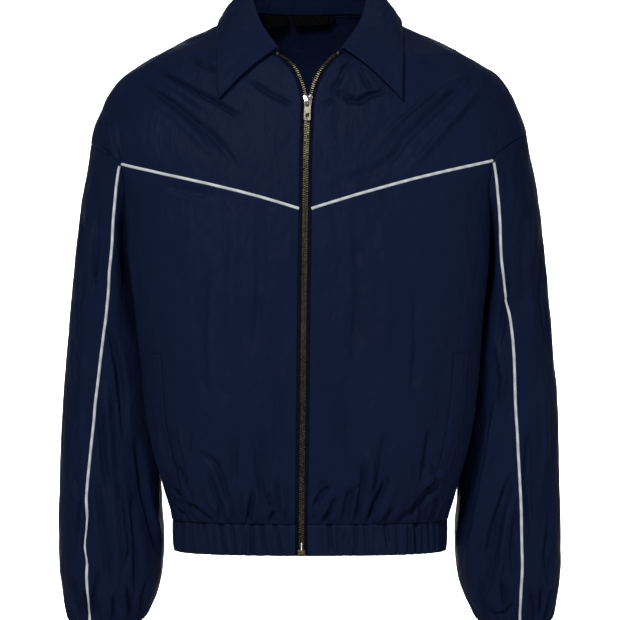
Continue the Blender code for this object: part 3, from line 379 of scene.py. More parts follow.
# Front edges above the slider, where the zip is open: z, x of the left, x of the right
OPEN_EDGE = (
    (-113, 4.7, -9.7),
    (-107, 6.4, -11.4),
    (-97, 9.0, -13.6),
    (-87, 13.2, -17.2),
    (-76, 20.0, -23.0),
    (-65, 29.0, -33.0),
    (-57, 39.0, -45.0),
)
# Front neck seam: share of its length, distance from the middle, z
NECK_SEAM_LEFT = (
    (0.0, 39, -57),
    (0.25, 57, -42),
    (0.5, 70, -26),
    (0.75, 79, -11),
    (1.0, 82, 0),
)
NECK_SEAM_RIGHT = (
    (0.0, 45, -57),
    (0.25, 60, -42),
    (0.5, 71, -26),
    (0.75, 79, -11),
    (1.0, 82, 0),
)
# Yoke seam: share of the way to the armhole, z on the left, z on the right
YOKE_SEAM = (
    (0.0, -240, -240),
    (0.3, -221, -221),
    (0.6, -202, -204),
    (0.8, -191, -194),
    (1.0, -182, -186),
)
# Armhole: share of the way round from the underarm over the front; then the angle round the body
# and z on the left, and both on the right. The left arm hangs a little further back.
ARMHOLE = (
    (0.0, 90, -305, 90, -305),
    (0.1, 78, -288, 79, -288),
    (0.2, 60, -242, 66, -244),
    (0.31, 51, -182, 55.5, -186),
    (0.41, 58, -160, 68, -168),
    (0.5, 90, -143, 90, -158),
    (0.59, 110, -159, 111, -168),
    (0.68, 122, -190, 122, -192),
    (0.8, 112, -250, 112, -250),
    (0.9, 99, -292, 99, -292),
    (1.0, 90, -305, 90, -305),
)
YOKE_CORNER_SHARE = 0.31
SHOULDER_TIP_SHARE = 0.5


# %% Panels of the body
def fill(bottom, top, left, right, top_reach=1):
    """A grid inside four border lines, each an array of (angle, z) rows.

    A higher top_reach lets the top line bend only the rows that are close to it.
    """
    u = np.linspace(0, 1, len(bottom))[None, :, None]
    v = np.linspace(0, 1, len(left))[:, None, None]
    ruled = (1 - u) * left[:, None] + u * right[:, None]
    low = bottom[None] - (1 - u) * bottom[0] - u * bottom[-1]
    high = top[None] - (1 - u) * top[0] - u * top[-1]
    return ruled + (1 - v) * low + v**top_reach * high


def steps(start, end, count):
    return np.linspace(start, end, count + 1)


def armhole(share, side):
    """Points of an armhole as (angle, z) rows."""
    both = through(ARMHOLE, share)
    return both[..., :2] if side > 0 else both[..., 2:]


def zip_middle(z):
    return through(ZIP_LINE, z)[..., 0]


def front_edge(z, side):
    """x of a front panel's edge beside the zip, measured towards its own side."""
    closed = zip_middle(z) * side + FABRIC_FROM_ZIP
    opened = through(OPEN_EDGE, z)[..., 0 if side > 0 else 1] * side
    return np.where(z > SLIDER_Z, opened, closed)


def yoke_seam(side):
    """The yoke seam as (angle, z) rows from the zip to the armhole."""
    share = steps(0, 1, FRONT_COLUMNS)
    z = through(YOKE_SEAM, share)[:, 0 if side > 0 else 1]
    start = front_angle(front_edge(z[:1], side), z[:1])[0]
    corner = armhole(YOKE_CORNER_SHARE, side)[0]
    return np.stack([start + share * (corner - start), z], -1)


def side_and_arm(side):
    """Right border of a lower front: side seam, then the armhole up to the yoke's corner."""
    seam = [(90.0, z) for z in steps(HEM_SEAM_Z, UNDERARM_Z, SIDE_ROWS)]
    arm = armhole(steps(0, YOKE_CORNER_SHARE, ARM_ROWS), side)[1:]
    return np.vstack([seam, arm])


def lower_front(side):
    seam = yoke_seam(side)
    right = side_and_arm(side)
    z = steps(HEM_SEAM_Z, YOKE_CENTRE_Z, SIDE_ROWS + ARM_ROWS)
    left = np.stack([front_angle(front_edge(z, side), z), z], -1)
    left[-1] = seam[0]
    hem = np.stack([steps(left[0, 0], 90, FRONT_COLUMNS), np.full(FRONT_COLUMNS + 1, HEM_SEAM_Z)], -1)
    return fill(hem, seam, left, right)


def shoulder_seam(side):
    """From the neck to the tip of the shoulder."""
    z = steps(0, armhole(SHOULDER_TIP_SHARE, side)[1], FRONT_COLUMNS)
    return np.stack([np.full(FRONT_COLUMNS + 1, 90.0), z], -1)


def yoke(side):
    seam = yoke_seam(side)
    z = np.concatenate([
        steps(YOKE_CENTRE_Z, SLIDER_Z, ZIP_ROWS),
        steps(SLIDER_Z, OPEN_EDGE[-1][0], OPEN_ROWS)[1:],
    ])
    zip_side = np.stack([front_angle(front_edge(z, side), z), z], -1)
    neck = through(NECK_SEAM_LEFT if side > 0 else NECK_SEAM_RIGHT, steps(0, 1, NECK_ROWS)[1:-1])
    neck_side = np.stack([front_angle(neck[:, 0], neck[:, 1]), neck[:, 1]], -1)
    left = np.vstack([zip_side, neck_side, [(90, 0)]])
    left[0] = seam[0]
    right = armhole(steps(YOKE_CORNER_SHARE, SHOULDER_TIP_SHARE, YOKE_ROWS), side)
    return fill(seam, shoulder_seam(side), left, right)


def half_back(side):
    """Half of the back as on the left, columns from the centre back to the side."""
    columns = NECK_COLUMNS + FRONT_COLUMNS
    seam = [(90.0, z) for z in steps(HEM_SEAM_Z, UNDERARM_Z, SIDE_ROWS)]
    arm = armhole(steps(1, SHOULDER_TIP_SHARE, BACK_ARM_ROWS), side)[1:]
    right = np.vstack([seam, arm])
    left = np.stack([np.full(len(right), 180.0), steps(HEM_SEAM_Z, 0, len(right) - 1)], -1)
    hem = np.stack([steps(180, 90, columns), np.full(columns + 1, HEM_SEAM_Z)], -1)
    neck = np.stack([steps(180, 90, NECK_COLUMNS), np.zeros(NECK_COLUMNS + 1)], -1)
    top = np.vstack([neck, shoulder_seam(side)[1:]])
    return fill(hem, top, left, right, top_reach=4)


# %% [markdown]
# ### Sleeves
# Each sleeve hangs almost straight, is widest below the elbow and is gathered into its cuff. Its top
# follows the armhole exactly and fades into plain rounded sections.

# %% Sleeve sections
# Sleeve: sections from the armhole down.
# share, outer x, outer z, inner x, inner z, middle y, half-depth, seam's x on the left, on the right
SLEEVE = (
    (0.00, 263, -158, 178, -305, 8, 78, 214, 222),
    (0.05, 267, -188, 189, -322, 11, 77, 211, 217),
    (0.12, 275, -228, 196, -345, 15, 76, 216, 224),
    (0.20, 282, -278, 195, -376, 19, 75, 228, 236),
    (0.29, 288, -334, 190, -412, 22, 74, 238, 242),
    (0.38, 292, -390, 185, -449, 23, 72, 242, 248),
    (0.48, 297, -454, 182, -495, 24, 70, 244, 254),
    (0.58, 300, -514, 179, -541, 24, 69, 247, 260),
    (0.68, 302, -573, 177, -588, 23, 68, 250, 265),
    (0.77, 303, -624, 174, -630, 21, 66, 251, 267),
    (0.85, 303, -662, 176, -665, 19, 62, 252, 266),
    (0.92, 299, -696, 184, -698, 17, 52, 251, 265),
    (0.97, 294, -720, 195, -720, 16, 40, 251, 264),
    (1.00, 290, -731, 203, -731, 15, 34, 251, 263),
)
ARMHOLE_BLEND = 0.3  # share of the sleeve over which the armhole's own curve fades out
SLEEVE_SQUARENESS = 2.25
OWN_SIDE = 100  # degrees


def sleeve_ring(turn, share):
    """Points of a left sleeve's plain sections; turn is 0 at the underarm, 180 outside."""
    outer_x, outer_z, inner_x, inner_z, middle_y, deep, _, _ = np.moveaxis(through(SLEEVE, share), -1, 0)
    a = np.radians(turn)
    c, s = np.cos(a), np.sin(a)
    radius = (np.abs(c) ** SLEEVE_SQUARENESS + np.abs(s) ** SLEEVE_SQUARENESS) ** (-1 / SLEEVE_SQUARENESS)
    x = (outer_x + inner_x) / 2 + (inner_x - outer_x) / 2 * c * radius
    z = (outer_z + inner_z) / 2 + (inner_z - outer_z) / 2 * c * radius
    return np.stack([x, middle_y - deep * s * radius, z], -1)


def ring_turn(point, share):
    """The turn at which a section's front comes nearest to the given x."""
    turns = np.linspace(40, 176, 273)
    x = sleeve_ring(turns, np.full(len(turns), share))[:, 0]
    return float(np.interp(point, x, turns))


def sleeve(side):
    """Grids of the front and back sleeve panels, as rows from the cuff up to the armhole."""
    around = np.concatenate([
        steps(0, YOKE_CORNER_SHARE, ARM_ROWS),
        steps(YOKE_CORNER_SHARE, SHOULDER_TIP_SHARE, YOKE_ROWS)[1:],
        steps(SHOULDER_TIP_SHARE, 1, BACK_ARM_ROWS)[1:],
    ])
    hole = torso_point(*armhole(around, side).T)
    # the turn of each armhole point: that of the nearest point of the first section on its own side
    turns = steps(0, 360, 720)
    first = sleeve_ring(turns, np.zeros(len(turns)))
    own = 360 * around
    for k in range(1, len(around) - 1):
        far = np.abs(turns - 360 * around[k]) > OWN_SIDE
        own[k] = turns[np.argmin(np.linalg.norm(first - hole[k], axis=1) + 1000 * far)]
    rows = []
    for share in steps(1, 0, SLEEVE_ROWS):
        seam = ring_turn(through(SLEEVE, share)[6 if side > 0 else 7], share)
        even = np.concatenate([
            steps(0, seam, ARM_ROWS),
            steps(seam, 360, YOKE_ROWS + BACK_ARM_ROWS)[1:],
        ])
        fade = max(0.0, 1 - share / ARMHOLE_BLEND)
        fade = fade * fade * (3 - 2 * fade)
        turn = own * fade + even * (1 - fade)
        ring = sleeve_ring(turn, np.full(len(turn), share))
        rows.append(ring + fade * (hole - sleeve_ring(own, np.zeros(len(own)))))
    grid = np.array(rows)
    grid[-1] = hole
    return grid[:, : ARM_ROWS + 1], grid[:, ARM_ROWS:]


def mirrored(grid):
    return grid[:, ::-1] * np.array([-1.0, 1.0, 1.0])


def body_grids():
    """Every panel of the body and sleeves as a grid of outer points, facing out."""
    grids = {}
    for name, side in (("left", 1), ("right", -1)):
        pieces = {
            "front": torso_point(*np.moveaxis(lower_front(side), -1, 0)),
            "yoke": torso_point(*np.moveaxis(yoke(side), -1, 0)),
        }
        pieces["sleeve_front"], pieces["sleeve_back"] = sleeve(side)
        for piece, grid in pieces.items():
            grids[f"{piece}_{name}"] = grid if side > 0 else mirrored(grid)
    left, right = (torso_point(*np.moveaxis(half_back(side), -1, 0)) for side in (1, -1))
    grids["back"] = np.concatenate([left[:, ::-1], mirrored(right)[:, ::-1][:, 1:]], axis=1)
    return grids


print("sleeve opening", 2 * SLEEVE[-1][6], "x", SLEEVE[-1][1] - SLEEVE[-1][3], "mm at the cuff")

# %% [markdown]
# ## Skin
# All panels are first one skin, so that a fold can run over a seam and neighbours agree there.

# %% Skin
def triangles(rows, columns, wrap=False):
    """Two triangles for each cell of a grid, always cut along the same diagonal."""
    across = columns if wrap else columns - 1
    faces = []
    for i in range(rows - 1):
        for j in range(across):
            a, b = i * columns + j, i * columns + (j + 1) % columns
            c, d = b + columns, a + columns
            faces += [(a, b, c), (a, c, d)]
    return faces


def unit_rows(vectors):
    return vectors / np.maximum(np.linalg.norm(vectors, axis=-1, keepdims=True), 1e-9)


class Skin:
    """All grids as one skin, so that neighbours share each seam's points and normals."""

    def __init__(self, grids):
        self.names = list(grids)
        self.shapes = [grids[n].shape[:2] for n in self.names]
        self.sizes = [rows * columns for rows, columns in self.shapes]
        loose = np.concatenate([grids[n].reshape(-1, 3) for n in self.names])
        keys = np.round(loose / 0.01).astype(np.int64)
        _, first, index = np.unique(keys, axis=0, return_index=True, return_inverse=True)
        self.index = index.reshape(-1)
        self.points = loose[first]
        starts = np.concatenate([[0], np.cumsum(self.sizes)])
        self.faces = np.concatenate(
            [np.array(triangles(*shape)) + start for shape, start in zip(self.shapes, starts)]
        )

    def own_normals(self):
        """One normal for each point of each panel, from that panel's faces alone."""
        corners = self.points[self.index[self.faces]]
        cross = np.cross(corners[:, 1] - corners[:, 0], corners[:, 2] - corners[:, 0])
        total = np.zeros((len(self.index), 3))
        for k in range(3):
            np.add.at(total, self.faces[:, k], cross)
        return unit_rows(total)

    def normals(self):
        """Normals shared by the panels that meet; those of the hem and cuff seams are level."""
        total = np.zeros_like(self.points)
        np.add.at(total, self.index, self.own_normals())
        level = np.isclose(self.points[:, 2], HEM_SEAM_Z) | np.isclose(self.points[:, 2], CUFF_SEAM_Z)
        total[level, 2] = 0
        return unit_rows(total)

    def panels(self, values):
        """Values of the skin's points, or of its panels' loose points, as a grid for each panel."""
        loose = values[self.index] if len(values) == len(self.points) else values
        pieces = np.split(loose, np.cumsum(self.sizes)[:-1])
        return {n: p.reshape(*s, 3) for n, p, s in zip(self.names, pieces, self.shapes)}

    def above_elastic(self):
        """Height of the skin's points above the seam of the hem band or of the cuffs."""
        z = self.points[:, 2]
        return np.where(self.sleeve_points(), z - CUFF_SEAM_Z, z - HEM_SEAM_Z)

    def sleeve_points(self):
        """Which of the skin's points lie on a sleeve."""
        loose = np.repeat([n.startswith("sleeve") for n in self.names], self.sizes)
        found = np.zeros(len(self.points), bool)
        found[self.index[loose]] = True
        return found


def unit(vector):
    return vector / np.linalg.norm(vector)


# %% [markdown]
# ## Folds
# Each fold is a line on the front or back view with its width and height, a smooth trough or ridge
# that is a little lower towards its ends. Long ones come from the shoulders and the armholes, short
# ones from the gathers at the hem and the cuffs.

# %% Main folds
# Folds of the cloth that show from a step away, as lines on the front (or back) view.
# Each line: half-width of the fold, height (a trough is negative), then x, z points.
FRONT_FOLDS = (
    (13, -4.0, (-133, -531), (-116, -543), (-109, -558), (-92, -602)),
    (10, -3.0, (-170, -573), (-155, -586), (-145, -604)),
    (15, 4.0, (-157, -496), (-148, -540), (-143, -566)),
    (10, -3.0, (-76, -604), (-72, -586), (-69, -572)),
    (16, -3.0, (-65, -497), (-63, -538), (-59, -578)),
    (9, -2.5, (-41, -562), (-41, -594)),
    (9, -3.0, (22, -564), (4, -586)),
    (10, -3.0, (40, -575), (39, -600)),
    (12, -4.0, (87, -555), (77, -577), (66, -603)),
    (12, -4.0, (155, -557), (134, -576), (110, -603)),
    (11, -3.5, (152, -576), (146, -602)),
    (12, -3.0, (160, -425), (154, -452), (156, -482), (140, -506), (134, -540)),
    (14, -4.0, (-174, -106), (-144, -126), (-120, -144)),
    (14, -4.0, (-66, -84), (-19, -111)),
    (12, 4.0, (185, -84), (130, -116)),
    (12, 3.5, (200, -89), (132, -166)),
    (11, -3.0, (32, -104), (59, -110), (77, -100)),
    (12, -3.5, (-258, -150), (-230, -172), (-196, -196)),
)
BACK_FOLDS = (
    (14, -4.0, (-150, -520), (-128, -560), (-118, -600)),
    (12, -3.5, (-92, -556), (-84, -602)),
    (13, -3.5, (-40, -530), (-46, -570), (-40, -602)),
    (11, -3.0, (10, -562), (14, -602)),
    (14, -4.0, (62, -536), (56, -570), (62, -602)),
    (12, -3.5, (104, -560), (96, -602)),
    (14, -4.0, (152, -530), (138, -566), (134, -602)),
    (18, -4.0, (-196, -150), (-150, -210), (-96, -250)),
    (18, -4.0, (192, -142), (156, -204), (104, -240)),
    (16, 4.0, (-190, -190), (-140, -262), (-80, -300)),
    (16, 4.0, (190, -196), (132, -270), (70, -306)),
    (18, -3.0, (-60, -380), (0, -398), (66, -384)),
)
SLEEVE_FOLDS = (
    (12, -5.0, (-206, -562), (-203, -584), (-193, -618), (-186, -664)),
    (12, -4.5, (-209, -654), (-204, -676), (-216, -728)),
    (11, -4.0, (-230, -672), (-228, -696), (-223, -726)),
    (11, -3.5, (-253, -676), (-254, -704), (-256, -728)),
    (15, 4.5, (222, -457), (217, -510), (209, -563), (200, -603), (190, -645), (186, -678)),
    (12, -4.5, (240, -562), (232, -588), (222, -611), (216, -634)),
    (12, 4.0, (236, -598), (230, -633), (226, -652), (219, -716)),
    (11, -4.0, (288, -678), (278, -697), (267, -718)),
    (14, -4.0, (-268, -300), (-236, -330), (-206, -372)),
    (14, -4.0, (270, -330), (240, -352), (208, -398)),
    (16, 3.5, (-284, -420), (-250, -470), (-204, -500)),
    (16, 3.5, (286, -452), (256, -500), (212, -530)),
)
SLEEVE_BACK_FOLDS = (
    (15, -5.0, (-214, -330), (-252, -392), (-284, -420)),
    (15, -5.0, (214, -322), (254, -380), (286, -412)),
    (13, -4.5, (-206, -566), (-226, -620), (-222, -700)),
    (13, -4.5, (204, -570), (232, -628), (230, -704)),
    (13, -4.0, (-262, -600), (-256, -660), (-262, -716)),
    (13, -4.0, (266, -596), (262, -660), (268, -716)),
)


def line_distance(x, z, line):
    """Distance from points to a line in the front view, and the share of the way along it."""
    line = np.array(line, float)
    length = np.linalg.norm(np.diff(line, axis=0), axis=1)
    before = np.concatenate([[0], np.cumsum(length)])
    best = np.full(x.shape, 1e9)
    share = np.zeros(x.shape)
    for k, (a, b) in enumerate(zip(line[:-1], line[1:])):
        t = np.clip(((x - a[0]) * (b[0] - a[0]) + (z - a[1]) * (b[1] - a[1])) / length[k] ** 2, 0, 1)
        d = np.hypot(x - a[0] - t * (b[0] - a[0]), z - a[1] - t * (b[1] - a[1]))
        nearer = d < best
        best = np.where(nearer, d, best)
        share = np.where(nearer, (before[k] + t * length[k]) / before[-1], share)
    return best, share


def fold(x, z, width, rise, *line):
    """Height of one large fold at each point, a little lower towards its ends."""
    distance, share = line_distance(x, z, line)
    taper = np.clip(np.minimum(share + 0.35, 1.35 - share), 0.35, 1)
    return rise * taper * np.exp(-((distance / width) ** 2))


def drawn(skin, normals, form, front, back, sleeve_front, sleeve_back):
    """Summed heights of the lines drawn on the body, and of those drawn on the sleeves."""
    x, z = skin.points[:, 0], skin.points[:, 2]
    heights = []
    for lines, facing in ((front, 1), (back, -1), (sleeve_front, 1), (sleeve_back, -1)):
        seen = np.clip(-normals[:, 1] * facing * 2.5, 0, 1)
        heights.append(sum(form(x, z, *line) * seen for line in lines))
    return heights[0] + heights[1], heights[2] + heights[3]


def folded(skin):
    """Moves the skin out or in along its folds; hem and cuff seams stay level."""
    normals, on_sleeve = skin.normals(), skin.sleeve_points()
    tables = FRONT_FOLDS, BACK_FOLDS, SLEEVE_FOLDS, SLEEVE_BACK_FOLDS
    body, arm = drawn(skin, normals, fold, *tables)
    above = skin.above_elastic()
    calm = np.where(on_sleeve, np.clip(above / 12, 0.3, 1), np.clip(above / 14, 0.35, 1))
    middle = np.clip((np.abs(skin.points[:, 0]) - 14) / 22, 0, 1)
    height = np.where(on_sleeve, arm, body) * (calm * np.where(on_sleeve, 1, middle))
    skin.points += height[:, None] * normals


print("folds", len(FRONT_FOLDS + BACK_FOLDS + SLEEVE_FOLDS + SLEEVE_BACK_FOLDS))

# %% [markdown]
# ### Finer creases
# Between the large folds the cloth has many small ones: puckers that rise from the elastic at the
# hem and the cuffs, drag lines at the armholes and short dents on the chest. Each line here is one of
# them, with a sharper side, which is what makes thin nylon look crisp.

# %% Fine creases
# half-width, height, lean to one side (0 even, 1 sharp on one side), then x, z points
FRONT_CREASES = (
    (3.4, -5.5, 0.4, (-128, -526), (-117, -531), (-109, -539), (-104, -552), (-99, -568), (-90, -600)),
    (3.6, -6.0, -0.3, (-148, -585), (-138, -587), (-128, -594), (-116, -603)),
    (3.2, -4.6, 0.3, (-164, -567), (-152, -579)),
    (3.2, -4.6, -0.3, (-164, -588), (-152, -597), (-142, -605)),
    (4.6, 4.4, 0.4, (-154, -496), (-149, -520), (-143, -538), (-140, -558), (-137, -577)),
    (4.4, -5.1, 0.3, (-158, -540), (-149, -560), (-139, -577)),
    (3.6, 3.1, 0.3, (-179, -503), (-170, -530), (-165, -550)),
    (3.4, 2.5, 0.0, (-135, -503), (-138, -528)),
    (3.6, -6.4, 0.3, (-67, -568), (-70, -588), (-74, -607)),
    (7.0, -5.1, 0.3, (-63, -494), (-60, -540), (-57, -570), (-50, -588), (-43, -603)),
    (3.2, -6.0, -0.3, (-41, -594), (-46, -607)),
    (3.0, -4.6, 0.3, (-50, -573), (-44, -590)),
    (3.2, -5.5, 0.3, (-40, -556), (-39, -580), (-37, -606)),
    (6.0, -3.7, 0.2, (-89, -504), (-88, -536), (-89, -562)),
    (5.6, -5.1, 0.3, (-120, -545), (-113, -568), (-105, -588), (-104, -606)),
    (3.2, -4.1, -0.3, (-124, -579), (-115, -592), (-105, -605)),
    (4.4, 3.1, 0.0, (-97, -580), (-94, -605)),
    (3.0, -3.7, 0.3, (-81, -572), (-80, -606)),
    (4.4, 3.1, 0.0, (-64, -578), (-62, -605)),
    (3.0, -3.7, 0.3, (-29, -562), (-27, -584), (-30, -606)),
    (3.4, -6.0, 0.3, (22, -562), (11, -574), (4, -587)),
    (3.6, -6.4, 0.3, (30, -577), (23, -592), (15, -606)),
    (3.2, -4.1, 0.0, (15, -556), (12, -572)),
    (5.0, -5.1, 0.3, (47, -563), (41, -590), (36, -608)),
    (3.0, -4.1, -0.3, (56, -563), (47, -576)),
    (3.8, -6.4, 0.3, (61, -536), (60, -568), (55, -590), (50, -607)),
    (4.2, -7.4, 0.3, (87, -554), (83, -567), (75, -580), (70, -593), (64, -607)),
    (8.0, -5.1, 0.3, (90, -494), (82, -540), (77, -572)),
    (3.2, -5.1, -0.3, (97, -591), (88, -600), (85, -607)),
    (5.0, -6.0, 0.4, (139, -500), (135, -526), (131, -554)),
    (5.6, -7.8, 0.3, (156, -559), (142, -566), (132, -578), (120, -592), (108, -600), (98, -607)),
    (4.6, 3.7, 0.0, (160, -548), (146, -552), (130, -566)),
    (3.8, -6.4, 0.3, (133, -580), (130, -595), (127, -607)),
    (3.8, -6.0, -0.3, (151, -577), (147, -598), (143, -607)),
    (3.2, -4.6, 0.3, (139, -584), (136, -606)),
    (4.6, -4.1, 0.0, (142, -528), (148, -556)),
    (6.0, 3.4, 0.0, (66, -520), (72, -548), (66, -572)),
    (4.6, 3.1, 0.0, (100, -560), (92, -580), (78, -603)),
    (3.0, -4.1, 0.3, (5, -596), (-1, -606)),
    (3.6, -5.5, 0.3, (-182, -76), (-160, -88), (-140, -99), (-115, -113), (-95, -125), (-77, -136)),
    (6.0, 2.7, 0.0, (-176, -88), (-150, -102), (-120, -122)),
    (3.4, -4.6, 0.3, (-202, -91), (-180, -103), (-160, -116), (-140, -133), (-120, -150), (-103, -167),
     (-88, -188)),
    (6.0, 2.7, 0.0, (-190, -108), (-160, -130), (-130, -158), (-112, -178)),
    (5.0, -5.1, 0.3, (-146, -60), (-126, -72), (-107, -78)),
    (3.2, -5.1, -0.3, (-67, -88), (-58, -97), (-40, -108), (-21, -117)),
    (3.4, -5.1, 0.3, (-236, -140), (-232, -164), (-226, -180)),
    (3.0, -4.6, 0.0, (-246, -167), (-229, -184)),
    (3.4, 3.1, 0.0, (-232, -136), (-225, -172)),
    (6.0, 4.1, 0.3, (178, -84), (150, -98), (120, -124), (96, -145), (76, -168)),
    (6.0, 4.1, 0.3, (199, -96), (180, -118), (160, -140), (140, -165), (116, -192)),
    (5.4, -4.6, -0.3, (190, -88), (168, -106), (142, -130), (112, -158), (96, -182)),
    (4.4, 2.4, 0.0, (188, -86), (174, -100)),
    (3.6, -6.9, 0.3, (86, -101), (70, -106), (58, -114), (46, -112), (39, -104)),
    (3.0, -5.1, -0.3, (34, -100), (35, -110)),
    (4.2, -5.5, 0.3, (50, -66), (38, -74), (34, -88), (25, -101)),
    (3.4, -5.1, 0.0, (60, -76), (64, -90), (72, -99)),
    (3.0, -3.7, 0.0, (29, -111), (15, -119)),
    (6.0, -3.2, 0.2, (112, -168), (76, -196), (34, -208)),
    (6.0, -3.2, 0.4, (-170, -214), (-140, -222), (-112, -226)),
    (8.0, -3.2, 0.3, (-60, -262), (-58, -330), (-66, -402)),
    (9.0, 2.4, 0.0, (-88, -250), (-92, -340), (-86, -432)),
    (7.0, -3.2, -0.3, (-120, -300), (-126, -380), (-122, -454)),
    (8.0, -3.2, 0.3, (52, -258), (56, -336), (50, -410)),
    (9.0, 2.4, 0.0, (84, -262), (90, -352), (84, -446)),
    (7.0, -3.2, 0.4, (120, -318), (124, -392), (118, -470)),
    (6.0, -3.2, 0.2, (-40, -440), (-36, -500), (-44, -548)),
    (6.0, -3.2, -0.2, (38, -446), (34, -506), (42, -556)),
    (4.6, 3.1, 0.3, (-218, -206), (-214, -280), (-208, -350), (-203, -424)),
)
BACK_CREASES = (
    (5, -5.1, 0.4, (-164, -572), (-154, -604)),
    (5, -5.1, -0.4, (-136, -560), (-130, -604)),
    (6, 3.4, 0.0, (-106, -548), (-104, -604)),
    (5, -4.6, 0.4, (-72, -578), (-66, -604)),
    (5, -4.6, -0.3, (-56, -560), (-58, -604)),
    (6, 3.1, 0.0, (-24, -556), (-20, -604)),
    (5, -4.6, 0.4, (-8, -580), (-6, -604)),
    (5, -5.1, -0.4, (28, -566), (34, -604)),
    (6, 3.1, 0.0, (44, -556), (42, -604)),
    (5, -5.1, 0.3, (78, -574), (74, -604)),
    (5, -4.6, -0.3, (90, -562), (84, -604)),
    (6, 3.4, 0.0, (118, -556), (112, -604)),
    (5, -5.1, 0.4, (126, -578), (120, -604)),
    (5, -5.1, -0.4, (160, -566), (150, -604)),
    (9, -4.1, 0.3, (-120, -170), (-84, -190), (-30, -196)),
    (9, -4.1, -0.3, (116, -176), (70, -196), (22, -200)),
    (10, 2.7, 0.0, (-110, -300), (-116, -390), (-104, -470)),
    (9, -3.7, 0.3, (-64, -330), (-60, -420), (-70, -500)),
    (10, 2.7, 0.0, (-14, -340), (-18, -430), (-8, -510)),
    (9, -3.7, -0.3, (40, -320), (46, -410), (38, -494)),
    (10, 2.7, 0.0, (96, -306), (104, -400), (94, -480)),
    (8, -4.1, 0.3, (-176, -250), (-150, -300), (-112, -330)),
    (8, -4.1, -0.3, (178, -256), (150, -310), (108, -344)),
)
SLEEVE_CREASES = (
    (4.4, -6.9, 0.4, (-238, -382), (-229, -420), (-223, -460), (-222, -506)),
    (6.0, 4.4, 0.0, (-242, -452), (-238, -500), (-236, -556)),
    (4.4, -6.0, 0.3, (-251, -474), (-247, -530), (-240, -572)),
    (5.0, -7.4, 0.4, (-207, -516), (-200, -566), (-192, -606), (-184, -644)),
    (4.6, 4.1, 0.0, (-196, -560), (-188, -600), (-180, -628)),
    (5.0, -6.4, 0.3, (-212, -588), (-207, -636), (-208, -700)),
    (4.4, -6.0, -0.4, (-226, -560), (-219, -600), (-214, -640), (-220, -668)),
    (5.0, -5.5, 0.3, (-254, -560), (-249, -604), (-242, -648), (-244, -690)),
    (4.6, 4.1, 0.0, (-234, -590), (-229, -640), (-232, -700)),
    (4.0, -6.0, 0.4, (-196, -680), (-202, -704), (-206, -729)),
    (3.6, -6.0, -0.4, (-216, -690), (-214, -729)),
    (4.2, 4.1, 0.0, (-224, -684), (-222, -729)),
    (3.6, -6.0, 0.3, (-234, -696), (-236, -729)),
    (4.2, -6.0, 0.3, (-252, -664), (-258, -700), (-254, -729)),
    (3.6, -5.5, -0.3, (-268, -690), (-264, -729)),
    (4.0, -6.0, 0.3, (-286, -676), (-278, -704), (-272, -729)),
    (5.0, 4.1, 0.3, (-264, -248), (-260, -306), (-265, -356)),
    (4.4, -5.1, 0.4, (-274, -236), (-270, -300), (-276, -366)),
    (4.0, -5.1, -0.3, (-252, -240), (-252, -290), (-256, -330)),
    (5.0, -5.1, 0.3, (-282, -396), (-277, -450), (-282, -510)),
    (5.0, 3.7, 0.0, (-270, -410), (-274, -480), (-268, -560)),
    (4.6, -5.1, -0.3, (-284, -540), (-274, -586), (-280, -640)),
    (4.4, -5.1, 0.3, (-264, -590), (-270, -640), (-264, -670)),
    (4.6, 4.4, 0.4, (221, -402), (230, -438), (225, -468)),
    (5.2, 5.1, 0.4, (219, -468), (212, -530), (200, -590), (190, -640), (185, -668)),
    (4.8, -6.0, -0.3, (206, -480), (200, -530), (190, -580)),
    (4.6, 4.8, 0.3, (235, -596), (228, -642), (221, -692)),
    (5.6, -6.4, 0.3, (239, -556), (226, -590), (214, -624), (208, -660)),
    (4.4, -5.5, -0.3, (226, -612), (216, -656), (212, -690)),
    (3.8, -6.4, 0.4, (208, -712), (218, -722), (232, -720), (242, -710)),
    (3.8, -6.0, -0.4, (204, -680), (206, -704), (214, -729)),
    (3.8, -6.0, 0.4, (228, -684), (231, -712)),
    (4.2, 3.7, 0.0, (240, -676), (238, -706)),
    (4.0, -6.0, 0.3, (262, -694), (268, -706), (266, -729)),
    (3.8, -5.5, -0.3, (276, -690), (276, -712), (270, -729)),
    (4.2, 3.7, 0.0, (256, -684), (256, -729)),
    (3.8, -5.5, 0.3, (288, -690), (281, -729)),
    (5.0, 3.4, 0.0, (262, -236), (258, -310), (268, -386)),
    (4.4, -4.6, 0.4, (278, -260), (274, -340), (282, -410)),
    (5.0, -5.1, -0.3, (236, -300), (232, -352), (224, -400)),
    (5.0, 3.4, 0.0, (276, -430), (282, -510), (274, -580)),
    (5.0, -5.1, -0.3, (264, -500), (258, -556), (264, -620)),
    (4.6, -4.6, 0.3, (286, -600), (280, -650), (284, -680)),
    (4.2, -5.1, 0.3, (246, -588), (240, -636), (242, -676)),
)
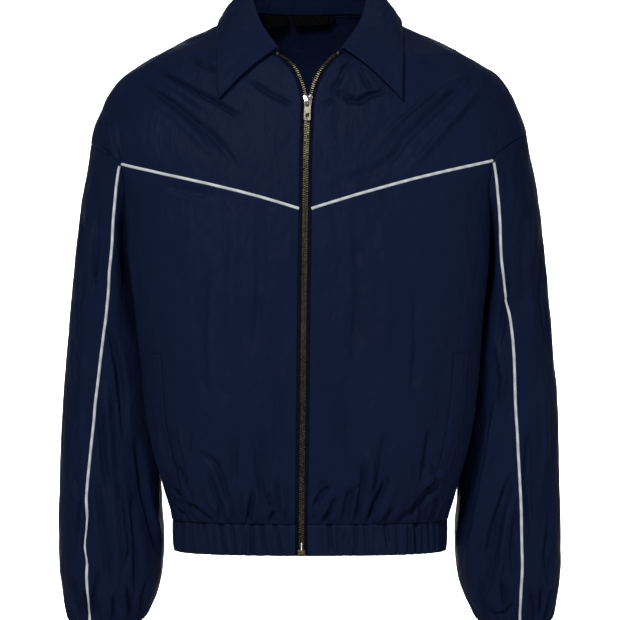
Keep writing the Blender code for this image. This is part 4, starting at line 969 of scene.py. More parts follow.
SLEEVE_BACK_CREASES = (
    (5, -5.1, 0.3, (-200, -690), (-208, -729)),
    (5, -5.1, -0.3, (-226, -696), (-228, -729)),
    (6, 3.4, 0.0, (-244, -684), (-244, -729)),
    (5, -5.1, 0.3, (-258, -694), (-256, -729)),
    (5, -5.1, -0.3, (-280, -690), (-272, -729)),
    (7, -4.6, 0.3, (-208, -360), (-232, -396), (-262, -408)),
    (7, 3.4, 0.0, (-206, -384), (-236, -424), (-276, -436)),
    (7, -4.1, -0.3, (-236, -470), (-242, -540), (-236, -600)),
    (7, 3.1, 0.0, (-266, -460), (-272, -540), (-266, -600)),
    (5, -5.1, 0.3, (206, -690), (214, -729)),
    (5, -5.1, -0.3, (232, -696), (234, -729)),
    (6, 3.4, 0.0, (250, -684), (248, -729)),
    (5, -5.1, 0.3, (264, -694), (260, -729)),
    (5, -5.1, -0.3, (286, -690), (276, -729)),
    (7, -4.6, 0.3, (210, -356), (236, -390), (266, -402)),
    (7, 3.4, 0.0, (208, -378), (240, -416), (280, -430)),
    (7, -4.1, -0.3, (240, -470), (248, -540), (242, -600)),
    (7, 3.1, 0.0, (272, -460), (278, -540), (272, -600)),
)
RIM = 0.8  # how much of a crease's form stands up beside it


def crease(x, z, width, rise, lean, *line):
    """Height of one fine crease: a soft trough or ridge with low rims and one sharper side."""
    distance, share = line_distance(x, z, line)
    run = np.array(line[-1], float) - line[0]
    beside = np.sign(run[0] * (z - line[0][1]) - run[1] * (x - line[0][0]))
    reach = distance / (width * (1 + lean * beside))
    taper = np.clip(np.minimum(share, 1 - share) * 4 + 0.25, 0.25, 1)
    return rise * taper * (1 - RIM * reach**2) * np.exp(-0.9 * reach**2)


print("creases", len(FRONT_CREASES + BACK_CREASES + SLEEVE_CREASES + SLEEVE_BACK_CREASES))

# %% [markdown]
# ### Gathers at the elastic
# Where the cloth is sewn to the stretched elastic it springs back into many small flutes. They are
# closest together at the seam and die out, unevenly, some centimetres above it.

# %% Gathers
BODY_FLUTES = 62
SLEEVE_FLUTES = 24
FLUTE_HEIGHT = 1.3
FLUTE_REACH = 26
SLEEVE_MIDDLE = (246, 15)  # x, y of a cuff's middle


def flutes(turn, above, count):
    """Height of small gathers above an elastic seam; turn runs from 0 to 1 round it."""
    sway = 0.35 * np.sin(2 * math.pi * turn * 5 + 0.7) + 0.25 * np.sin(2 * math.pi * turn * 13 + 2.1)
    phase = 2 * math.pi * turn * count + sway * 3
    long = FLUTE_REACH * (0.65 + 0.35 * np.sin(2 * math.pi * turn * count * 0.37 + 1.3))
    fade = np.exp(-((np.maximum(above, 0) / long) ** 1.4))
    return FLUTE_HEIGHT * fade * (np.cos(phase) + 0.35 * np.cos(2 * phase + 0.8))


def beside_zip(points):
    """0 at the front edges, which stay straight beside the zip, and 1 a little away from them."""
    from_zip = np.abs(points[:, 0] - zip_middle(points[:, 2]))
    return np.clip((from_zip - FABRIC_FROM_ZIP - 1) / 9, 0, 1)


def creased(skin):
    """Moves the skin out or in along its fine creases and its gathers."""
    normals, on_sleeve = skin.normals(), skin.sleeve_points()
    x, y, _ = skin.points.T
    above = skin.above_elastic()
    tables = FRONT_CREASES, BACK_CREASES, SLEEVE_CREASES, SLEEVE_BACK_CREASES
    body, arm = drawn(skin, normals, crease, *tables)
    turn = np.arctan2(x, -y) / (2 * math.pi) % 1
    arm_turn = np.arctan2(x - np.sign(x) * SLEEVE_MIDDLE[0], SLEEVE_MIDDLE[1] - y) / (2 * math.pi) % 1
    body += flutes(turn, above, BODY_FLUTES)
    arm += flutes(arm_turn, above, SLEEVE_FLUTES)
    height = np.where(on_sleeve, arm, body * np.where(y < 0, beside_zip(skin.points), 1))
    height *= np.clip(above / 4 + 0.35, 0.35, 1)
    skin.points = skin.points + height[:, None] * normals


SETTLE = ((70.0, 1.8), (28.0, 1.1), (12.0, 0.6))  # spacing and height of uneven settling


def settled(skin):
    """A gentle unevenness of three sizes, stretched along the cloth's length."""
    calm = np.where((skin.points[:, 1] < 0) | skin.sleeve_points(), beside_zip(skin.points), 1)
    calm = calm * np.clip(skin.above_elastic() / 10, 0, 1)
    height = np.zeros(len(skin.points))
    for spacing, size in SETTLE:
        scaled = skin.points / spacing * (1.0, 1.0, 0.55)
        height += size * np.array([noise.noise(Vector(p)) for p in scaled])
    skin.points = skin.points + (height * calm)[:, None] * skin.normals()


# %% Make the skin and its folds
skin = Skin(body_grids())
folded(skin)
creased(skin)
settled(skin)
points, normals = skin.panels(skin.points), skin.panels(skin.normals())
print("skin has", len(skin.points), "points in", len(skin.names), "panels")

# %% [markdown]
# ## Panels
# Each panel becomes a mesh of its own, 0.3 mm short of its neighbours. Two narrow rows inside its
# border let the cloth roll down into the seam, as it does where it is turned under and stitched.
# Solidify gives it the thickness of the cloth, inwards.

# %% Mesh helpers
def border(rows, columns):
    """Indices of a grid's border, anticlockwise."""
    bottom = [(0, j) for j in range(columns)]
    right = [(i, columns - 1) for i in range(1, rows)]
    top = [(rows - 1, j) for j in range(columns - 2, -1, -1)]
    left = [(i, 0) for i in range(rows - 2, 0, -1)]
    return bottom + right + top + left


def pulled_in(grid, normal, gap):
    """Moves a grid's border in by the gap, square to its edges and to the skin's normal."""
    loop = border(*grid.shape[:2])
    moved = grid.copy()
    for k, here in enumerate(loop):
        before, after = loop[k - 1], loop[(k + 1) % len(loop)]
        n = normal[here]
        inward = unit(np.cross(n, grid[here] - grid[before]))
        outgoing = unit(np.cross(n, grid[after] - grid[here]))
        share = max(1 + float(inward @ outgoing), 0.35)
        moved[here] = grid[here] + gap * (inward + outgoing) / share
    return moved


def mesh_object(name, points, faces, material, smooth=True):
    """A named piece from millimetre points."""
    mesh = bpy.data.meshes.new(name)
    mesh.from_pydata([tuple(p) for p in np.asarray(points) * MM], [], [tuple(map(int, f)) for f in faces])
    if smooth:
        mesh.shade_smooth()
    mesh.materials.append(material)
    return placed(name, mesh)


def quads(rows, columns, wrap=False):
    """Faces of a grid; a wrapped one closes round its columns."""
    across = columns if wrap else columns - 1
    return [
        (i * columns + j, i * columns + (j + 1) % columns,
         (i + 1) * columns + (j + 1) % columns, (i + 1) * columns + j)
        for i in range(rows - 1) for j in range(across)
    ]


def tube(rows, columns):
    """Faces of a closed tube: a wrapped grid and its two ends."""
    last = rows * columns
    ends = [tuple(range(columns)), tuple(range(last - 1, last - columns - 1, -1))]
    return quads(rows, columns, wrap=True) + ends


def thicken(thing, thickness):
    """Solidify, inwards from the outer face."""
    solid = thing.modifiers.new("cloth", "SOLIDIFY")
    solid.thickness = thickness * MM
    solid.offset = -1
    solid.use_even_offset = False
    return thing


# %% Panels
EDGE_SHARES = (0.2, 0.5)  # extra rows within the first cell of the grid
SEAM_ROLL = ((0.0, 1.0), (1.0, 0.45), (2.0, 0.1), (3.0, 0.0))  # rows from the border, share of the roll
SEAM_DEPTH = 0.9
SHEET_WALL = 0.8


def between(grid, rows, columns):
    """A grid read at fractional rows and columns."""
    def along(values, at):
        low = np.minimum(at.astype(int), len(values) - 2)
        share = (at - low).reshape(-1, *[1] * (values.ndim - 1))
        return values[low] * (1 - share) + values[low + 1] * share
    return along(along(grid, rows).swapaxes(0, 1), columns).swapaxes(0, 1)


def with_edge(count, step):
    """Row numbers of a grid, every one or two, with extra ones beside its first and last."""
    extra = np.array(EDGE_SHARES)
    return np.concatenate([[0], extra, np.arange(1, count - 1, step), count - 1 - extra[::-1], [count - 1]])


def seam_roll(rows, columns):
    """How far each point of a grid rolls down towards the seams round it."""
    step, share = np.array(SEAM_ROLL).T
    from_row = np.minimum(np.arange(rows), np.arange(rows)[::-1])[:, None]
    from_column = np.minimum(np.arange(columns), np.arange(columns)[::-1])[None]
    return SEAM_DEPTH * np.interp(np.minimum(from_row, from_column), step, share)


def make_panel(name, grid, normal):
    outer = pulled_in(grid, normal, SEAM_GAP / 2)
    step = 2 if name == "back" else 1
    rows, columns = with_edge(len(grid), step), with_edge(len(grid[0]), step)
    outer, normal = between(outer, rows, columns), unit_rows(between(normal, rows, columns))
    outer = outer - seam_roll(len(rows), len(columns))[..., None] * normal
    piece = mesh_object(f"cloth_{name}", outer.reshape(-1, 3), quads(len(rows), len(columns)), shell_nylon)
    return thicken(piece, SHEET_WALL)


cloth = {name: make_panel(name, points[name], normals[name]) for name in points}
print("panels:", ", ".join(cloth))

# %% [markdown]
# ## Hem band and cuffs
# Both are strips of the same nylon, doubled over a wide elastic. The elastic draws them up into
# upright troughs that lean and fade unevenly. Each is one strip of cloth laid round its section.

# %% Gathered strips
# x at the top, x at the bottom, depth, and the share of the height where it starts and ends
BAND_TROUGHS = (
    (-134, -129, 4.5, 0.0, 1.0), (-126, -120, 4.0, 0.1, 1.0), (-115, -112, 2.2, 0.3, 1.0),
    (-105, -99, 5.0, 0.0, 1.0), (-93, -87, 3.8, 0.2, 1.0), (-80, -84, 2.2, 0.0, 0.7),
    (-74, -79, 3.8, 0.4, 1.0), (-69, -67, 4.2, 0.0, 0.95), (-57, -51, 4.5, 0.0, 1.0),
    (-49, -46, 2.0, 0.3, 1.0), (-41, -33, 4.0, 0.0, 0.9), (-27, -25, 2.2, 0.0, 0.8),
    (12, 14, 2.0, 0.2, 1.0), (22, 25, 3.8, 0.0, 0.75), (34, 33, 2.2, 0.1, 1.0),
    (42, 40, 3.0, 0.3, 1.0), (51, 44, 3.5, 0.5, 1.0), (54, 52, 4.5, 0.0, 0.95),
    (65, 68, 3.2, 0.0, 0.9), (77, 75, 2.5, 0.2, 1.0), (88, 94, 4.0, 0.0, 0.6),
    (102, 104, 2.5, 0.2, 1.0), (116, 117, 4.0, 0.2, 1.0), (124, 126, 5.5, 0.0, 1.0),
    (133, 134, 2.5, 0.3, 1.0), (140, 142, 4.5, 0.0, 1.0), (148, 150, 4.0, 0.0, 1.0),
)
BACK_TROUGHS = 40
STRIP_ROWS = 14
BAND_COLUMNS = 1080
CUFF_COLUMNS = 400
STRIP_WALL = 1.8
EDGE_TURN = (0.0, 0.0, 0.25, 1.0)  # how far the last rows roll in at the folded edge
BAND_NIP = 1.0
STRIP_TUCK = 2.2  # its upper edge lies in under the panels
STRIP_OVER = 1.5  # and ends above the seam


def trough_rows(count, first, last, low, high, lean):
    """Uneven troughs between two turns, as (top, bottom, depth, start, end) rows."""
    rows = []
    pitch = (last - first) / count
    for k in range(count):
        turn = first + pitch * (k + 0.5 + 0.25 * math.sin(2.3 * k + 0.4))
        slant = lean * math.sin(1.9 * k + 1.1)
        depth = low + (high - low) * (0.5 + 0.5 * math.sin(1.7 * k + 0.6))
        start = max(0.0, 0.35 * math.sin(2.9 * k))
        end = 1 - max(0.0, 0.3 * math.sin(3.7 * k + 0.5))
        rows.append((turn, turn + slant, depth, start, end))
    return rows


def strip_height(turn, down, troughs, half):
    """Height of a gathered strip's face at each turn and share of the way down."""
    height = np.zeros(np.broadcast(turn, down).shape)
    for top, bottom, depth, start, end in troughs:
        reach = (turn - top - (bottom - top) * down) / half
        inside = np.clip((down - start) * 5 + 1, 0, 1) * np.clip((end - down) * 5 + 1, 0, 1)
        height -= depth * inside * (1 - 0.5 * reach**2) * np.exp(-0.9 * reach**2)
    return height


def gathered_strip(name, section, turns, count, troughs, half, top, bottom, swell, lift):
    """A doubled strip round a section; swell is its outward bow and lift its place at both edges."""
    turn = np.linspace(*turns, count)
    down = np.linspace(0, 1, STRIP_ROWS)[:, None]
    x, y = section(turn)
    after_x, after_y = section(turn + 0.2)
    out = unit_rows(np.stack([after_y - y, x - after_x], -1))
    out *= np.sign((out * np.stack([x - x.mean(), y - y.mean()], -1)).sum(1, keepdims=True))
    high = strip_height(turn[None], down, troughs, half)
    high += swell * np.sin(math.pi * down) + lift[0] * (1 - down) + lift[1] * down
    high[-len(EDGE_TURN):] -= 0.8 * np.array(EDGE_TURN)[:, None]
    high[0] -= STRIP_TUCK
    grid = np.empty((STRIP_ROWS, count, 3))
    grid[..., 0] = x + out[:, 0] * high
    grid[..., 1] = y + out[:, 1] * high
    grid[..., 2] = top + (bottom - top) * down
    piece = mesh_object(name, grid[::-1].reshape(-1, 3), quads(STRIP_ROWS, count), band_nylon)
    return thicken(piece, STRIP_WALL), grid


# %% Hem band
def band_angle(x):
    """The angle at which the front of the hem is x from its middle."""
    return float(front_angle(np.array(float(x)), HEM_SEAM_Z))


def hem_section(angle):
    place = torso_point(np.asarray(angle, float), HEM_SEAM_Z)
    return place[..., 0], place[..., 1]


zip_at_hem = float(zip_middle(HEM_SEAM_Z))
band_start = band_angle(zip_at_hem + FABRIC_FROM_ZIP)
band_end = 360 + band_angle(zip_at_hem - FABRIC_FROM_ZIP)
band_troughs = []
for top, bottom, *rest in BAND_TROUGHS:
    around = 0 if top > zip_at_hem else 360
    band_troughs.append((band_angle(top) + around, band_angle(bottom) + around, *rest))
band_troughs += trough_rows(BACK_TROUGHS, band_angle(154), 360 + band_angle(-140), 2.0, 4.6, 2.0)
hem_band, band_grid = gathered_strip(
    "cloth_hem_band", hem_section, (band_start, band_end), BAND_COLUMNS, band_troughs, 1.05,
    HEM_SEAM_Z + STRIP_OVER, BAND_BOTTOM_Z, 0.6, (0.0, -BAND_NIP))
print("hem band with", len(band_troughs), "troughs")

# %% Cuffs
CUFF_TROUGHS = 30


def make_cuff(name, side):
    def section(turn):
        ring = sleeve_ring(np.asarray(turn), np.ones(len(turn)))
        return ring[:, 0] * side, ring[:, 1]

    troughs = trough_rows(CUFF_TROUGHS, 0, 360, 1.6, 3.6, 4.0)
    turns = (360, 0) if side > 0 else (0, 360)
    return gathered_strip(f"cloth_cuff_{name}", section, turns, CUFF_COLUMNS, troughs, 3.2,
                          CUFF_SEAM_Z + STRIP_OVER, CUFF_BOTTOM_Z, -0.3, (0.0, -1.6))


cuffs, cuff_grids = {}, {}
for name, side in (("left", 1), ("right", -1)):
    cuffs[name], cuff_grids[name] = make_cuff(name, side)
print("cuffs with", CUFF_TROUGHS, "troughs each")

# %% [markdown]
# ## Collar
# A shirt collar without a stand: one doubled piece that rises from the neck seam, rolls over and
# falls to two long points. It is stitched 6 mm inside its edge, which sinks a fine channel there.

# %% Collar
# Collar: sections from the centre back to the left front end.
# share, neck seam (taken from the body), roll x, y, z, edge x, y, z
COLLAR = (
    (0.00, 0, 56, 32, 0, 80, -12),
    (0.20, 39, 49, 32, 54, 75, -13),
    (0.36, 65, 29, 31, 90, 50, -12),
    (0.50, 75, -2, 27, 108, 6, -9),
    (0.66, 69, -26, 12, 111, -38, -24),
    (0.83, 59, -62, -18, 110, -89, -62),
    (1.00, 38, -96, -51, 108, -112, -112),
)
COLLAR_BEND = 4.0  # radius of the rolled edge
COLLAR_ROWS = 44
COLLAR_WALL = 1.6
STITCH_IN = 6.0


def neck_line(points):
    """The neck seam as points from the left front end round the back to the right one."""
    start = ZIP_ROWS + OPEN_ROWS
    left = points["yoke_left"][start:, 0]
    right = points["yoke_right"][start:, -1]
    back = points["back"][-1, FRONT_COLUMNS : FRONT_COLUMNS + 2 * NECK_COLUMNS + 1]
    return np.concatenate([left, back[1:-1], right[::-1]])


def collar_path(seam, roll, edge):
    """Nine points across the collar, from the neck seam over the roll to the outer edge."""
    out = edge - seam
    out[2] = 0
    out = unit(out)
    up = np.array([0.0, 0.0, 1.0])
    bend = min(COLLAR_BEND, 0.45 * np.linalg.norm(edge - roll), 0.9 * abs(float((edge - seam) @ out)) / 2)
    high = min(1.0, np.linalg.norm(roll - seam) / 20)
    inner = roll - out * bend * 0.9 - unit(roll - seam) * bend * 1.2 * high
    fall = unit(edge - roll)
    proud = unit(up - fall * float(up @ fall) + out * 0.05)
    outer = roll + out * bend * 0.9 + fall * bend * 0.9
    return [
        seam,
        seam + (inner - seam) * 0.5 - out * 0.6 * high,
        inner,
        roll - out * bend * 0.35 + up * bend * 0.25 * high,
        roll + out * bend * 0.35 + up * bend * 0.25,
        outer,
        outer + (edge - outer) * 0.3 + proud * 2.6,
        outer + (edge - outer) * 0.65 + proud * 2.4,
        edge,
    ]


def smoothed(path, count):
    """Points evenly spaced along a smooth curve through the given ones."""
    path = np.array(path)
    length = np.concatenate([[0], np.cumsum(np.linalg.norm(np.diff(path, axis=0), axis=1))])
    return through(np.column_stack([length, path]), np.linspace(0, length[-1], count))


neck = neck_line(points) + (SEAM_GAP + 0.3) * neck_line(normals)
half_neck = len(neck) // 2
share = np.abs(np.arange(len(neck)) - half_neck) / half_neck
side = np.where(np.arange(len(neck)) <= half_neck, 1.0, -1.0)[:, None] * [1, 0, 0] + [0, 1, 1]
collar_table = through(COLLAR, share)
collar_grid = np.array([
    smoothed(collar_path(s, r, e), COLLAR_ROWS)
    for s, r, e in zip(neck, collar_table[:, 0:3] * side, collar_table[:, 3:6] * side)
])
print("collar grid", collar_grid.shape[:2])


# %% Collar mesh
def grid_normals(grid):
    return unit_rows(np.cross(np.gradient(grid, axis=0), np.gradient(grid, axis=1)))


def run_along(grid, axis):
    """Distance travelled along a grid's rows or columns."""
    step = np.linalg.norm(np.diff(grid, axis=axis), axis=-1)
    start = np.zeros_like(step[:1] if axis == 0 else step[:, :1])
    return np.cumsum(np.concatenate([start, step], axis=axis), axis=axis)


collar_out = -grid_normals(collar_grid)
across = run_along(collar_grid, 1)
to_edge = across[:, -1:] - across
along = run_along(collar_grid, 0)
to_end = np.minimum(along, along[-1:] - along)
from_rim = np.minimum(to_edge, to_end)
channel = -0.45 * np.exp(-(((from_rim - STITCH_IN) / 1.1) ** 2))
channel += 0.35 * np.exp(-(((from_rim - STITCH_IN / 2) / 2.2) ** 2))
channel -= 0.5 * np.exp(-((from_rim / 0.9) ** 2))
fallen = np.clip((across - across.max(1, keepdims=True) * 0.5) / 20, 0, 1)
wave = np.array([[noise.noise(Vector(p / 26)) + 0.7 * noise.noise(Vector(p / 9)) for p in row]
                 for row in collar_grid])
collar_face = collar_grid + (channel * fallen + 0.9 * wave * fallen)[..., None] * collar_out
collar = mesh_object("cloth_collar", collar_face.reshape(-1, 3), quads(*collar_face.shape[:2]), shell_nylon)
thicken(collar, COLLAR_WALL)
print("collar", round(float(across.max())), "mm across its cloth at the widest")

# %% [markdown]
# ## Piping
# A cord in a strip of satin, caught in the yoke seams and down the front of the sleeves. Only the
# covered cord shows, as a line about 4 mm wide that stands a little proud.

# %% Piping
PIPING_WIDTH = 4.4
PIPING_HEIGHT = 1.7
CORD_SIDES = 11
CORD_SHOWN = 1.75  # half the width that shows between the seams' edges


def cord(name, centre, normal, half_width, height, lift, material):
    """A rounded cord along a line of points, flat where it lies on the cloth."""
    tangent = unit_rows(np.gradient(centre, axis=0))
    across = unit_rows(np.cross(normal, tangent))
    turn = np.linspace(0, math.pi, CORD_SIDES)
    rings = [centre + across * math.cos(t) * half_width + normal * (lift + math.sin(t) * height)
             for t in turn]
    grid = np.array(rings).transpose(1, 0, 2)
    return mesh_object(name, grid.reshape(-1, 3), tube(*grid.shape[:2]), material)


piping = {}
for name in ("left", "right"):
    column, nearer = (-1, -2) if name == "left" else (0, 1)
    seam, out = points[f"yoke_{name}"][0].copy(), normals[f"yoke_{name}"][0]
    seam[column] += unit(seam[nearer] - seam[column]) * (PIPING_WIDTH / 2 + 0.4)
    piping[f"yoke_{name}"] = cord(f"piping_cord_yoke_{name}", seam, out, CORD_SHOWN,
                                  PIPING_HEIGHT, 0.1, satin_piping)
    seam = points[f"sleeve_front_{name}"][:, column].copy()
    out = normals[f"sleeve_front_{name}"][:, column]
    seam[0] += unit(seam[1] - seam[0]) * 0.6
    seam[-1] += unit(seam[-2] - seam[-1]) * 2.4
    piping[f"sleeve_{name}"] = cord(f"piping_cord_sleeve_{name}", seam, out, CORD_SHOWN,
                                    PIPING_HEIGHT, 0.1, satin_piping)
print("piping:", ", ".join(piping))

# %% [markdown]
# ## Zip
# A metal zip of 6 mm chain. Two tapes lie behind the front edges; single teeth are clamped on their
# edges and mesh below the slider. Each side has a tooth every 2.66 mm, so the closed chain has one
# every 1.33 mm.

# %% Zip sizes
CHAIN_WIDTH = 6.0
CHAIN_THICK = 2.4
TAPE_UNDER = 4.5  # tape behind the panel's edge
CHAIN_PROUD = 0.9  # teeth in front of the tape
BAND_ROWS = 2  # rows of the zip within the hem band
BOX_HEIGHT = 7.5
BOX_WIDTH = 8.4
STOP_HEIGHT = 4.0
TAPE_WALL = 0.6
TAPE_CLOSED, TAPE_OPEN = 2.8, 1.6  # how far a tape reaches in under its teeth, below and above the slider
TOOTH_PITCH = 2.66


def zip_edges(points, normals):
    """For each side, rows up its front edge: the edge, its way in, both normals and the wall there."""
    out = {}
    stop = ZIP_ROWS + OPEN_ROWS + 1
    for name, side in (("left", 1), ("right", -1)):
        edge, nearer = (0, 1) if side > 0 else (-1, -2)
        rows = []
        for column in (edge, nearer):
            for values in (points, normals):
                rows.append(np.concatenate([
                    values[f"front_{name}"][:, column], values[f"yoke_{name}"][1:stop, column]
                ]))
        line, n, beside, n_beside = rows
        length = np.linalg.norm(beside - line, axis=1, keepdims=True)
        inward = (beside - line) / length
        mixed = unit_rows(n + (n_beside - n) * (TAPE_UNDER / length))
        low = np.array([[0.0, 0.0, BAND_BOTTOM_Z - HEM_SEAM_Z], [0.0, 0.0, -SEAM_GAP]])
        line = np.concatenate([line[0] + low, line])
        inward, n, mixed = (np.concatenate([v[:1], v[:1], v]) for v in (inward, n, mixed))
        wall_here = np.full((len(line), 1), CLOTH)
        wall_here[:3] = DOUBLE_CLOTH
        wall_here[0] += BAND_NIP + 0.1
        out[name] = (line, inward, n, mixed, wall_here)
    return out


# %% Zip tapes
edges = zip_edges(points, normals)
split = BAND_ROWS + SIDE_ROWS + ARM_ROWS + ZIP_ROWS
toward = FABRIC_FROM_ZIP - CHAIN_WIDTH / 2 - SEAM_GAP
tapes, tooth_lines = {}, {}
for name, (line, inward, out, mixed, wall_here) in edges.items():
    reach = np.where(np.arange(len(line)) <= split, TAPE_CLOSED, TAPE_OPEN)[:, None]
    near = line - inward * (toward + reach) - out * (wall_here + LIFT)
    under = line + inward * TAPE_UNDER - mixed * (wall_here + LIFT)
    pair = (near, under) if name == "left" else (under, near)
    grid = np.stack([pair[0], (pair[0] + pair[1]) / 2, pair[1]], 1)
    tape = mesh_object(f"tape_{name}", grid.reshape(-1, 3), quads(*grid.shape[:2]), polyester_tape)
    tapes[name] = thicken(tape, TAPE_WALL)
    front = line - inward * (toward + SEAM_GAP) - out * (CLOTH + LIFT - CHAIN_PROUD)
    tooth_lines[name] = (front, inward, out)
print("tapes", [round(float(run_along(l[0], 0)[-1])) for l in tooth_lines.values()], "mm long")


# %% Teeth
def read_along(line, distance, values=None):
    """A line's points, or the values given along it, read at distances from its start."""
    length = run_along(line, 0)
    values = line if values is None else values
    return np.stack([np.interp(distance, length, values[:, k]) for k in range(3)], -1)


# across from the chain's edge to the tip past its middle, and half the height along the chain
TOOTH_OUTLINE = ((0.0, 0.44), (0.25, 0.58), (1.6, 0.58), (2.2, 0.44), (2.9, 0.40), (3.3, 0.26))
TOOTH_LEVELS = ((0.0, 0.75), (-0.3, 1.0), (0.3 - CHAIN_THICK, 1.0), (-CHAIN_THICK, 0.75))  # depth, height


def tooth(at, tip_way, out, up):
    """Points and faces of one tooth: a rounded block with a narrowing tip."""
    ring = [*TOOTH_OUTLINE, *((a, -h) for a, h in TOOTH_OUTLINE[::-1])]
    rows = [[at + tip_way * a + up * h * share + out * deep for a, h in ring]
            for deep, share in TOOTH_LEVELS]
    return np.concatenate(rows), tube(len(TOOTH_LEVELS), len(ring))


def joined(name, parts, material, smooth=True):
    """One mesh from many small ones."""
    all_points, all_faces, start = [], [], 0
    for some_points, some_faces in parts:
        all_points.append(some_points)
        all_faces += [tuple(v + start for v in f) for f in some_faces]
        start += len(some_points)
    return mesh_object(name, np.concatenate(all_points), all_faces, material, smooth)


def turned_out(thing, weld=0.0):
    """Turns every face of a mesh outwards, once points closer than weld are made one."""
    shape = bmesh.new()
    shape.from_mesh(thing.data)
    if weld:
        bmesh.ops.remove_doubles(shape, verts=shape.verts, dist=weld)
    bmesh.ops.recalc_face_normals(shape, faces=shape.faces)
    shape.to_mesh(thing.data)
    shape.free()
    return thing


teeth = {}
for name, (line, inward, out) in tooth_lines.items():
    length = run_along(line, 0)
    offset = 0.0 if name == "left" else TOOTH_PITCH / 2
    start = BOX_HEIGHT + 1.0 + offset
    places = np.arange(start, float(length[-1]) - STOP_HEIGHT - 1.0, TOOTH_PITCH)
    base = read_along(line, places)
    tip, face = -read_along(line, places, inward), read_along(line, places, out)
    up = unit_rows(read_along(line, places + 0.5) - read_along(line, places - 0.5))
    parts = [tooth(b, unit(t), unit(f), u) for b, t, f, u in zip(base, tip, face, up)]
    teeth[name] = turned_out(joined(f"teeth_{name}", parts, antique_brass, smooth=False))
print("teeth", [len(t.data.polygons) // (6 * len(TOOTH_OUTLINE) + 2) for t in teeth.values()])

# %% [markdown]
# ## Slider, pull tab and end pieces
# The slider is die-cast and nickel plated: two shield-shaped plates joined by a wedge, with an arch
# on the front that holds the tab. The tab is a stamped plate with a slot and a square window. Solid
# outlines with bevelled edges give their crisp small highlights.

# %% Solid plates
SLIDER_WIDTH = 11.4
SLIDER_HIGH = 5.4  # ends of the slider's plates above and below the chain's top
SLIDER_LOW = -7.4
PLATE = 1.4
BRIDGE_HIGH = 5.5
BRIDGE_WIDTH = 2.6
PIN_UP = -3.2  # pull tab's hinge from the chain's top: up along the chain, and out from it
PIN_OUT = 3.15
TAB_LENGTH = 22.5
TAB_WALL = 1.6


def plate(name, outline, low, high, frame, material, bevel=0.35):
    """A solid between two copies of an outline, with rounded edges; frame is origin and directions."""
    origin, first, second, third = frame
    rings = [[origin + first * a + second * b + third * c for a, b in outline] for c in (low, high)]
    thing = turned_out(mesh_object(name, rings[0] + rings[1], tube(2, len(outline)), material))
    edge = thing.modifiers.new("rounded", "BEVEL")
    edge.width = bevel * MM
    edge.segments = 3
    edge.limit_method = "ANGLE"
    edge.angle_limit = math.radians(25)
    return thing


def applied(thing):
    """The same object with its modifiers made part of its mesh."""
    ready = thing.evaluated_get(bpy.context.evaluated_depsgraph_get())
    mesh = bpy.data.meshes.new_from_object(ready)
    thing.modifiers.clear()
    thing.data = mesh
    return thing


def merged(things, name):
    """Several objects joined into the first one."""
    for thing in things:
        applied(thing)
    with bpy.context.temp_override(active_object=things[0], selected_editable_objects=list(things)):
        bpy.ops.object.join()
    things[0].name = name
    things[0].data.name = name
    return things[0]


# %% Slider
chain_line = (tooth_lines["left"][0][: split + 1] + tooth_lines["right"][0][: split + 1]) / 2
slider_up = unit(chain_line[-1] - chain_line[-1 - FINE])
slider_out = unit(tooth_lines["left"][2][split] + tooth_lines["right"][2][split])
slider_across = unit(np.cross(slider_up, slider_out))
slider_out = unit(np.cross(slider_across, slider_up))
slider_at = chain_line[-1]
flat = (slider_at, slider_across, slider_up, slider_out)
profile = (slider_at, slider_out, slider_up, slider_across)


def shield(wide, narrow, low, high, notch):
    """Outline of a slider's plate: two round lobes above, narrower and straight below."""
    left = [(-narrow, low), (narrow, low), (narrow, -0.8), (wide - 0.2, 0.6)]
    lobe = [(wide * 0.52 + wide * 0.48 * math.cos(t), high - 3.0 + 3.0 * math.sin(t))
            for t in np.linspace(-0.3, math.pi * 0.8, 9)]
    right_lobe = [(-a, b) for a, b in lobe[::-1]]
    return left + lobe + [(0.0, high - notch)] + right_lobe + [(0.2 - wide, 0.6), (-narrow, -0.8)]


front_low, front_high = 0.4, 0.4 + PLATE
back_high = -CHAIN_THICK - 0.4
outline = shield(SLIDER_WIDTH / 2, SLIDER_WIDTH / 2 - 1.4, SLIDER_LOW, SLIDER_HIGH, 1.6)
bridge = [
    (front_high - 0.3, 3.6), (BRIDGE_HIGH - 1.0, 3.0), (BRIDGE_HIGH, 0.8), (BRIDGE_HIGH, -4.2),
    (BRIDGE_HIGH - 0.9, -6.2), (front_high - 0.3, -6.8), (front_high - 0.3, -5.7),
    (BRIDGE_HIGH - 1.6, -5.3), (BRIDGE_HIGH - 1.0, -4.0), (BRIDGE_HIGH - 1.0, 0.6),
    (BRIDGE_HIGH - 1.6, 2.0), (front_high - 0.3, 2.5),
]
wedge = [(-0.7, 2.4), (0.7, 2.4), (0.9, SLIDER_HIGH - 1.8), (-0.9, SLIDER_HIGH - 1.8)]
slider = merged([
    plate("slider_front", outline, front_low, front_high, flat, bright_nickel, 0.5),
    plate("slider_back", outline, back_high - PLATE, back_high, flat, bright_nickel, 0.5),
    plate("slider_wedge", wedge, back_high - 0.3, front_high - 0.3, flat, bright_nickel, 0.2),
    plate("slider_bridge", bridge, -BRIDGE_WIDTH / 2, BRIDGE_WIDTH / 2, profile, bright_nickel, 0.4),
], "slider_body")
print("slider", SLIDER_WIDTH, "mm wide,", len(slider.data.polygons), "faces")


